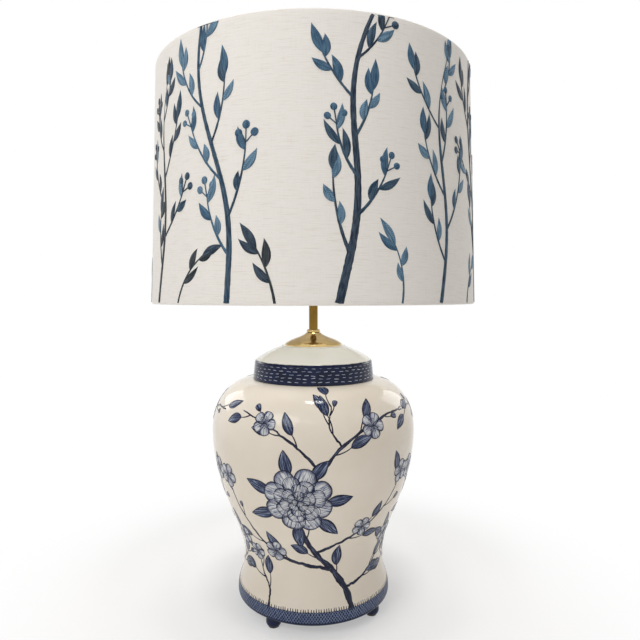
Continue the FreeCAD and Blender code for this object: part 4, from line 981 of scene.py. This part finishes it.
def linen():
    """Slubby linen: level slubs, faint upright threads, and a soft sheen at grazing angles."""
    material, tree, shader = new_material(
        "slubby natural white linen", Roughness=0.85, Specular_IOR_Level=0.25, Sheen_Weight=0.25,
        Sheen_Roughness=0.5)
    cloth = add(tree, "UVMap", {}, uv_map="metres")
    level = add(tree, "Mapping", {
        "Vector": cloth, "Scale": (per(SLUB_LENGTH), per(SLUB_HEIGHT), 1)})
    slubs = add(tree, "TexNoise", {"Vector": level, "Scale": 1, "Detail": 4, "Roughness": 0.65})
    upright = add(tree, "Mapping", {"Vector": cloth, "Scale": (per(YARN), per(WARP_LENGTH), 1)})
    warp = add(tree, "TexNoise", {"Vector": upright, "Scale": 1, "Detail": 3})
    flat = add(tree, "Mapping", {"Vector": cloth, "Scale": (per(WEFT_LENGTH), per(YARN), 1)})
    weft = add(tree, "TexNoise", {"Vector": flat, "Scale": 1, "Detail": 3})
    weave = add(tree, "Math", {0: warp, 1: weft}, operation="ADD")
    thick = add(tree, "MapRange", {"Value": slubs, "From Min": 0.52, "From Max": 0.85})
    tone = add(tree, "MixRGB", {
        "Fac": weave, "Color1": colour("#E3DED6"), "Color2": colour("#F1EDE7")})
    toned = add(tree, "MixRGB", {"Fac": thick, "Color1": tone, "Color2": colour("#D6CDC1")})
    tree.links.new(toned.outputs[0], shader.inputs["Base Color"])
    relief = add(tree, "Math", {0: slubs, 1: 1.5, 2: weave}, operation="MULTIPLY_ADD")
    bump = add(tree, "Bump", {"Height": relief, "Strength": 0.6, "Distance": WEAVE_DEPTH})
    tree.links.new(bump.outputs[0], shader.inputs["Normal"])
    return material


cover = make_linen(linen())
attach(cover, "shade")
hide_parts("shade_fabric")
print("The linen cover has", len(cover.data.polygons), "faces")

# %% [markdown]
# ## Embroidery
#
# The linen was embroidered before it was glued on, so the design runs off at both rims. It is
# worked in satin stitch with five blue threads. Sprays rise from the hem in long double bends.
# Their side shoots carry slender leaves and berries in threes. Each spray is one line of a list,
# and its shoots grow by rule from a fixed seed.

# %% Embroidery thread
STITCH = 2.2                             # mm apart, drawn four times too coarse so that it shows
STITCH_SLANT = 0.8                       # way along the stroke for each step away from its middle
STITCH_STRAY = 5                         # mm over which a thread strays from its line
STITCH_DEPTH = 0.25 * MM
# Size of the patches of painted sheen and painted shade along the strands, in mm.
SHEEN_PATCH_LENGTH, SHEEN_PATCH_WIDTH = 11, 1.6      # mm, size of the changes in the thread's tone
THREADS = {"ink": "#10181F", "navy": "#16324B", "teal": "#264C66", "sky": "#42708F",
           "pale": "#769DB6"}


def stitched():
    """Stranded cotton in satin stitch. Threads slant across a stroke. Their crowns carry a painted
    highlight, the gaps between them painted shade, and the strands painted sheen and shade where
    they turn.
    """
    material, tree, shader = new_material(
        "stranded cotton satin stitch", Roughness=0.6, Specular_IOR_Level=0.15, Sheen_Weight=0.03,
        Sheen_Roughness=0.4)
    thread = add(tree, "Attribute", {}, attribute_name="tint").outputs["Color"]
    size = add(tree, "Attribute", {}, attribute_name="size").outputs["Vector"]
    split = add(tree, "SeparateXYZ", {"Vector": size})
    away = add(tree, "Math", {0: split.outputs["Y"]}, operation="ABSOLUTE")
    slant = add(tree, "Math", {0: away, 1: STITCH_SLANT, 2: split.outputs["X"]},
                operation="MULTIPLY_ADD")
    uneven = add(tree, "TexNoise", {"Vector": size, "Scale": per(STITCH_STRAY), "Detail": 3})
    wander = add(tree, "Math", {0: uneven, 1: STITCH * MM, 2: slant}, operation="MULTIPLY_ADD")
    cycle = add(tree, "Math", {0: wander, 1: 2 * math.pi * per(STITCH)}, operation="MULTIPLY")
    wave = add(tree, "Math", {0: cycle}, operation="SINE")
    ridge = add(tree, "MapRange", {"Value": wave, "From Min": -1, "From Max": 1})
    # Painted shade between the threads and a painted highlight on their crowns, from the same ridge
    # as the bump.
    darker = add(tree, "MixRGB", {"Fac": 1, "Color1": thread, "Color2": colour("#B2BAC4")},
                 blend_type="MULTIPLY")
    lighter = add(tree, "MixRGB", {"Fac": 0.04, "Color1": thread, "Color2": colour("#E4ECF2")})
    tone = add(tree, "MixRGB", {"Fac": ridge, "Color1": darker, "Color2": lighter})
    # Painted sheen and painted shade where strands turn, set at random along the thread.
    strands = add(tree, "Mapping", {
        "Vector": size, "Scale": (per(SHEEN_PATCH_LENGTH), per(SHEEN_PATCH_WIDTH), OWN_NOISE)})
    strand_sheen_noise = add(tree, "TexNoise", {"Vector": strands, "Scale": 1, "Detail": 3})
    turned = add(tree, "MapRange", {"Value": strand_sheen_noise, "From Min": 0.36, "From Max": 0.66})
    painted_strand_shade = add(tree, "MixRGB", {"Fac": 1, "Color1": tone, "Color2": colour("#B4BAC2")},
                 blend_type="MULTIPLY")
    painted_strand_sheen = add(tree, "MixRGB", {"Fac": 0.09, "Color1": tone, "Color2": colour("#BCD2E0")})
    varied = add(tree, "MixRGB", {"Fac": turned, "Color1": painted_strand_shade, "Color2": painted_strand_sheen})
    tree.links.new(varied.outputs[0], shader.inputs["Base Color"])
    bump = add(tree, "Bump", {"Height": ridge, "Strength": 0.5, "Distance": STITCH_DEPTH})
    tree.links.new(bump.outputs[0], shader.inputs["Normal"])
    return material


print("Threads:", ", ".join(THREADS))

# %% [markdown]
# ### Motifs
#
# Each motif is a few strokes of satin stitch. A leaf swells and tapers, a berry is nearly round,
# and a shoot is a bent line that carries both. They could be drawn one by one, which would take
# days for a whole shade. Here chance picks the lengths and threads within narrow limits, from a
# seed that gives the same shade each time.

# %% Sprays in a list
SPRAYS = (
    # degrees from the front, lean in mm at the top, height and stem width in mm, thread
    (7, 40, 300, 9.0, "navy"),
    (-25, -30, 300, 7.0, "teal"),
    (-58, 28, 235, 6.0, "ink"),
    (-90, -25, 300, 8.0, "sky"),
    (-122, 30, 300, 6.5, "navy"),
    (-155, -10, 245, 6.0, "sky"),
    (172, 26, 300, 9.0, "ink"),
    (139, -12, 300, 7.0, "teal"),
    (106, 2, 235, 6.0, "sky"),
    (73, -32, 300, 8.0, "ink"),
    (41, 20, 255, 6.0, "teal"),
)
NEIGHBOUR = {"ink": "navy", "navy": "teal", "teal": "sky", "sky": "pale", "pale": "sky"}
FULL_HEIGHT = 300        # mm, more than the shade's height, so that the spray runs off at the top
full_sprays = sum(spray[2] == FULL_HEIGHT for spray in SPRAYS)
print(full_sprays, "of", len(SPRAYS), "sprays run off at the top")

# %% Leaves and berries in thread
STITCHED_LEAF_ROWS, BERRY_ROWS = 13, 9
STALK_WIDTH = 1.3 * MM
BERRIES = ((-0.7, 9), (0.05, 13), (0.75, 8))     # heading off the shoot's, stalk's length in mm


def tint_of(thread):
    """Linear colour of a thread, as an array."""
    return np.array(colour(THREADS[thread]))


def stitch_leaf(work, start, heading, length, width, turn, thread, layer):
    """Slender leaf: a power of the sine of its share, and a stalk that thins along it."""
    share = rounded(STITCHED_LEAF_ROWS)
    path = run(work.skin, start, heading, share[1:] * length, turn)
    shape = width * np.sin(math.pi * share ** 0.85) ** 1.1 + 1.1 * MM * (1 - share)
    work.add(path, shape, tint_of(thread), layer)


def stitch_berries(work, start, heading, size, thread, layer):
    """Three round berries on short stalks. A berry's width is a half circle on its length."""
    share = rounded(BERRY_ROWS)
    width = 2 * size * np.sqrt(share * (1 - share)) * 0.95
    for side, reach in BERRIES:
        stalk = run(work.skin, start, heading + side, np.linspace(0.2, 1, 5) * reach * MM)
        work.add(stalk, STALK_WIDTH, tint_of(thread), layer)
        berry = run(work.skin, stalk[-1], heading + side, share[1:] * size)
        work.add(berry, width, tint_of(NEIGHBOUR[thread]), layer + 3)


print("Berries hang in", len(BERRIES), "on stalks of", [reach for _, reach in BERRIES], "mm")

# %% [markdown]
# A shoot leaves its stem at an angle and curls back up, as if it sought the light. A stem sways
# to and fro on its way up. Both could be curves with handles. As formulas of the share along them
# they stay smooth at any length, and a ragged width makes them look stitched by hand.

# %% Shoots and sprays
SHOOT_ROWS = 22
LEAF_PLACES = range(8, SHOOT_ROWS, 6)         # rows of a shoot that carry a leaf
SPRAY_ROWS = 90
SHOOT_PLACES = range(15, 81, 12)              # rows of a stem that carry a shoot
SWAY = 16 * MM                                # how far a stem sways to the side


def stitch_shoot(work, start, heading, length, side, width, thread, layer, random):
    """Side shoot that curls back up, with leaves by turns on its sides."""
    turn = side * random.uniform(-0.75, -0.35)
    path = run(work.skin, start, heading, np.linspace(0.05, 1, SHOOT_ROWS) * length, turn)
    ragged = random.uniform(0.88, 1.1, len(path))
    work.add(path, np.linspace(width, 1.5, len(path)) * MM * ragged, tint_of(thread), layer)
    for number, row in enumerate(LEAF_PLACES):
        away = side if number % 2 else -side
        leaf_heading = heading_of(work.skin, path, row) + away * random.uniform(0.5, 0.8)
        stitch_leaf(work, path[row], leaf_heading, random.uniform(20, 30) * MM,
                    random.uniform(7, 9) * MM, -away * 0.5,
                    random.choice((thread, NEIGHBOUR[thread], "pale")), layer + 2)
    last = heading_of(work.skin, path, -1)
    if random.random() < 0.5:
        stitch_berries(work, path[-1], last, random.uniform(7, 9) * MM, thread, layer + 2)
    else:
        stitch_leaf(work, path[-1], last, random.uniform(24, 32) * MM, 9 * MM, turn * 0.4,
                    NEIGHBOUR[thread], layer + 2)


def stitch_spray(work, degrees, lean, height, width, thread, layer, random):
    """Stem in a long double bend from the hem, with shoots to both sides.

    Its way to the side is a lean that grows faster than its height, and a sine. A short stem thins
    towards its end and closes in a leaf."""
    share = np.linspace(0, 1, SPRAY_ROWS)
    start = work.skin.spot(degrees, shade_low + RIM_CLEAR)
    distance = start[1] + share * min(height * MM, work.skin.along[-1] - start[1])
    bends = 2 * math.pi * share * random.uniform(0.8, 1.1) + random.uniform(0, 0.8)
    sideways = lean * MM * share ** 1.2 + SWAY * np.sin(bends) * share ** 0.5
    path = np.stack((start[0] + sideways / work.skin.radius_at(distance), distance), axis=1)
    thinning = 1 - 0.55 * share * height / FULL_HEIGHT
    if height < FULL_HEIGHT:
        thinning = thinning * np.clip((1 - share) / 0.4, 0.3, 1)
        last = heading_of(work.skin, path, -1)
        stitch_leaf(work, path[-1], last, 30 * MM, 10 * MM, 0.2, thread, layer + 2)
    ragged = random.uniform(0.92, 1.06, SPRAY_ROWS)
    work.add(path, width * MM * thinning * ragged, tint_of(thread), layer)
    for number, row in enumerate(SHOOT_PLACES):
        side = 1 if number % 2 else -1
        heading = heading_of(work.skin, path, row) - side * random.uniform(0.55, 0.85)
        length = random.uniform(60, 90) * MM * (1 - 0.35 * share[row])
        stitch_shoot(work, path[row], heading, length, -side, width * 0.4 * thinning[row] + 0.8,
                     random.choice((thread, NEIGHBOUR[thread])), layer - 1, random)


print("A spray carries", len(SHOOT_PLACES), "shoots with", len(LEAF_PLACES), "side leaves each")

# %% [markdown]
# The design is worked from the back to the front: short sprigs along the hem first, then the
# stems with their shoots. All the thread is one piece. It rides with the linen on the shade.

# %% Embroider the linen
SPRIG_WIDTH = 3           # mm
SPRIG_THREADS = ("ink", "teal", "sky")


def embroider():
    """Stitch short sprigs along the hem between the sprays, then the sprays over them."""
    work = Strokes(shade_skin, rise=0.55 * MM, seed=41)
    random = np.random.default_rng(47)
    for spray, following in zip(SPRAYS, SPRAYS[1:] + SPRAYS[:1]):
        gap = (following[0] - spray[0] + 180) % 360 - 180
        start = work.skin.spot(spray[0] + gap * random.uniform(0.4, 0.6), shade_low + RIM_CLEAR)
        heading, length = math.pi / 2 + random.uniform(-0.3, 0.3), random.uniform(40, 75) * MM
        stitch_shoot(work, start, heading, length, random.choice((-1, 1)), SPRIG_WIDTH,
                     random.choice(SPRIG_THREADS), 0, random)
    for number, spray in enumerate(SPRAYS):
        stitch_spray(work, *spray, 4 + 2 * (number % 3), random)
    return work.make("embroidery", stitched(), "shade")


embroidery = embroider()

# %% [markdown]
# ## Brass
#
# The cap, ring and tube on the jar are spun and turned brass, polished and lacquered. Polished
# metal has no colour of its own beyond its mirror tint. What tells brass from gold paint is what
# the tool left: fine lines round the axis, and a roughness that isn't even where fingers touched
# the lacquer.

# %% Metals
TOUCH = 14     # mm, size of the places where fingers wore the surface


def turned_metal(name, tint, roughness, line, scratch):
    """Metal worked on a lathe: noise on radius and height only, so that its lines run round.

    The distance between lines and the depth of a scratch are in mm."""
    material, tree, shader = new_material(name, Metallic=1.0, Roughness=roughness)
    place = add(tree, "TexCoord", {}).outputs["Object"]
    split = add(tree, "SeparateXYZ", {"Vector": place})
    level = add(tree, "CombineXYZ", {"X": split.outputs["X"], "Y": split.outputs["Y"]})
    radius = add(tree, "VectorMath", {0: level}, operation="LENGTH")
    section = add(tree, "CombineXYZ", {"X": radius.outputs["Value"], "Y": split.outputs["Z"]})
    lines = add(tree, "TexNoise", {"Vector": section, "Scale": per(line), "Detail": 3})
    touched = add(tree, "TexNoise", {"Vector": place, "Scale": per(TOUCH), "Detail": 4})
    rough = add(tree, "MapRange", {"Value": touched, "From Min": 0.3, "From Max": 0.7,
                                   "To Min": roughness * 0.75, "To Max": roughness * 1.4})
    tree.links.new(rough.outputs[0], shader.inputs["Roughness"])
    worn = add(tree, "MapRange", {"Value": touched, "From Min": 0.3, "From Max": 0.75})
    lit, dull = colour(tint), tuple(share * 0.8 for share in colour(tint)[:3]) + (1,)
    tone = add(tree, "MixRGB", {"Fac": worn, "Color1": lit, "Color2": dull})
    tree.links.new(tone.outputs[0], shader.inputs["Base Color"])
    bump = add(tree, "Bump", {"Height": lines, "Strength": 0.4, "Distance": scratch * MM})
    tree.links.new(bump.outputs[0], shader.inputs["Normal"])
    return material


polished_brass = turned_metal("polished brass, lacquered", "#D6BA80", 0.15, line=0.7, scratch=0.03)
# The tube is the same brass as the cap. Its darker tint is painted shade, for the dark underside of
# the lampshade that it mirrors.
tube_brass_painted_darker = turned_metal("drawn brass tube", "#86692F", 0.19, line=0.7, scratch=0.03)
plated_brass = turned_metal("brass-plated steel", "#B59A68", 0.3, line=0.5, scratch=0.03)
zinc_steel = turned_metal("zinc-plated steel", "#A9ABAE", 0.36, line=1.0, scratch=0.1)
contact_brass = turned_metal("pressed contact brass", "#B08A4E", 0.3, line=0.6, scratch=0.04)
bulb_metal = turned_metal("rolled aluminium bulb cap", "#C4C5C6", 0.28, line=0.6, scratch=0.03)
print("Brass to rolled aluminium:", polished_brass.name, "/", bulb_metal.name)

# %% [markdown]
# ## Plastics, card, felt, rubber and wire
#
# What remains is small or hidden: the shade's styrene liner, white enamelled wire, the socket's
# moulded core and card sleeve, and the felt and rubber below. They differ in how even their
# surface is, so one function makes them all, from a fine grain and a slow change of tone. Each is
# named for its real stuff, and its grain is that stuff's own size.

# %% Grained materials
def grained(name, light, dark, roughness, grain, depth, stretch=(1, 1, 1), **constants):
    """Dull material: tone and relief from noise of a grain's size, which may be stretched.

    The grain's size and the depth of its relief are in mm."""
    material, tree, shader = new_material(name, Roughness=roughness, **constants)
    place = add(tree, "TexCoord", {}).outputs["Object"]
    pulled = add(tree, "Mapping", {"Vector": place, "Scale": stretch})
    fine = add(tree, "TexNoise", {
        "Vector": pulled, "Scale": per(grain), "Detail": 4, "Roughness": 0.6})
    slow = add(tree, "TexNoise", {"Vector": place, "Scale": per(grain * 22), "Detail": 2})
    both = add(tree, "Math", {0: fine, 1: slow}, operation="MULTIPLY")
    spread = add(tree, "MapRange", {"Value": both, "From Min": 0.12, "From Max": 0.4})
    tone = add(tree, "MixRGB", {"Fac": spread, "Color1": colour(dark), "Color2": colour(light)})
    tree.links.new(tone.outputs[0], shader.inputs["Base Color"])
    bump = add(tree, "Bump", {"Height": fine, "Strength": 0.5, "Distance": depth * MM})
    tree.links.new(bump.outputs[0], shader.inputs["Normal"])
    return material


wool_felt = grained("pressed wool felt", "#6B5238", "#4A3824", 0.95, 0.8, 0.3, Sheen_Weight=0.4)
rubber = grained("moulded black rubber", "#2A2A2A", "#171717", 0.75, 0.6, 0.05)
phenolic = grained("moulded phenolic resin", "#2E2622", "#1D1815", 0.4, 0.9, 0.03)
abs_plastic = grained("moulded black plastic", "#242426", "#161618", 0.45, 0.5, 0.04)
fibre_card = grained("vulcanised fibre card", "#A98C62", "#8A6E49", 0.8, 0.7, 0.08,
                     stretch=(1, 1, 0.2))
black_glass = grained("black glass insulator", "#1C1C20", "#0F0F12", 0.12, 1.5, 0.01)
styrene = grained("white styrene liner", "#F4F2ED", "#F0EDE7", 0.5, 1.2, 0.03)
enamel = grained("white enamelled wire", "#E9E6DF", "#D9D5CC", 0.35, 1.0, 0.04, Coat_Weight=0.3)
soft_white = grained("soft-white bulb glass", "#F6F4EE", "#F5F2EC", 0.3, 14, 0.001,
                     Coat_Weight=0.5, Coat_Roughness=0.15)
print("Dull to glossy:", wool_felt.name, "/", soft_white.name)

# %% [markdown]
# ## Dress the parts
#
# The imported parts come with a plain colour in a slot that is named for its stuff. One list gives
# each slot its finish, so no part is left out. The linen stands in for the shade's solid cover,
# so that slot only needs some finish. The lid and the neck tube share a slot with other parts, so
# they are dressed once more by themselves. The lid's glaze is whiter and less warm than the jar's
# and painted lighter against the lampshade's shadow. The tube's brass is painted darker, as
# painted shade.

# %% Dress the parts
FINISHES = {
    "cream_glaze": jar_glaze, "blue_glaze": foot_glaze, "felt": wool_felt,
    "black_plastic": abs_plastic, "threaded_steel": zinc_steel, "black_rubber": rubber,
    "polished_brass": polished_brass, "plated_brass": plated_brass, "fibre_card": fibre_card,
    "moulded_core": phenolic, "contact_metal": contact_brass, "bulb_cap_metal": bulb_metal,
    "black_insulator": black_glass, "frosted_glass": soft_white, "enamelled_wire": enamel,
    "shade_liner": styrene, "embroidered_linen": styrene,
}

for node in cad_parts.values():
    for slot in node.material_slots:
        slot.material = FINISHES[slot.material.name]
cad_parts["jar_lid"].material_slots[0].material = lid_glaze_painted_lighter
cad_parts["neck_tube"].material_slots[0].material = tube_brass_painted_darker
print(len(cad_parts), "parts dressed in", len(FINISHES), "finishes")
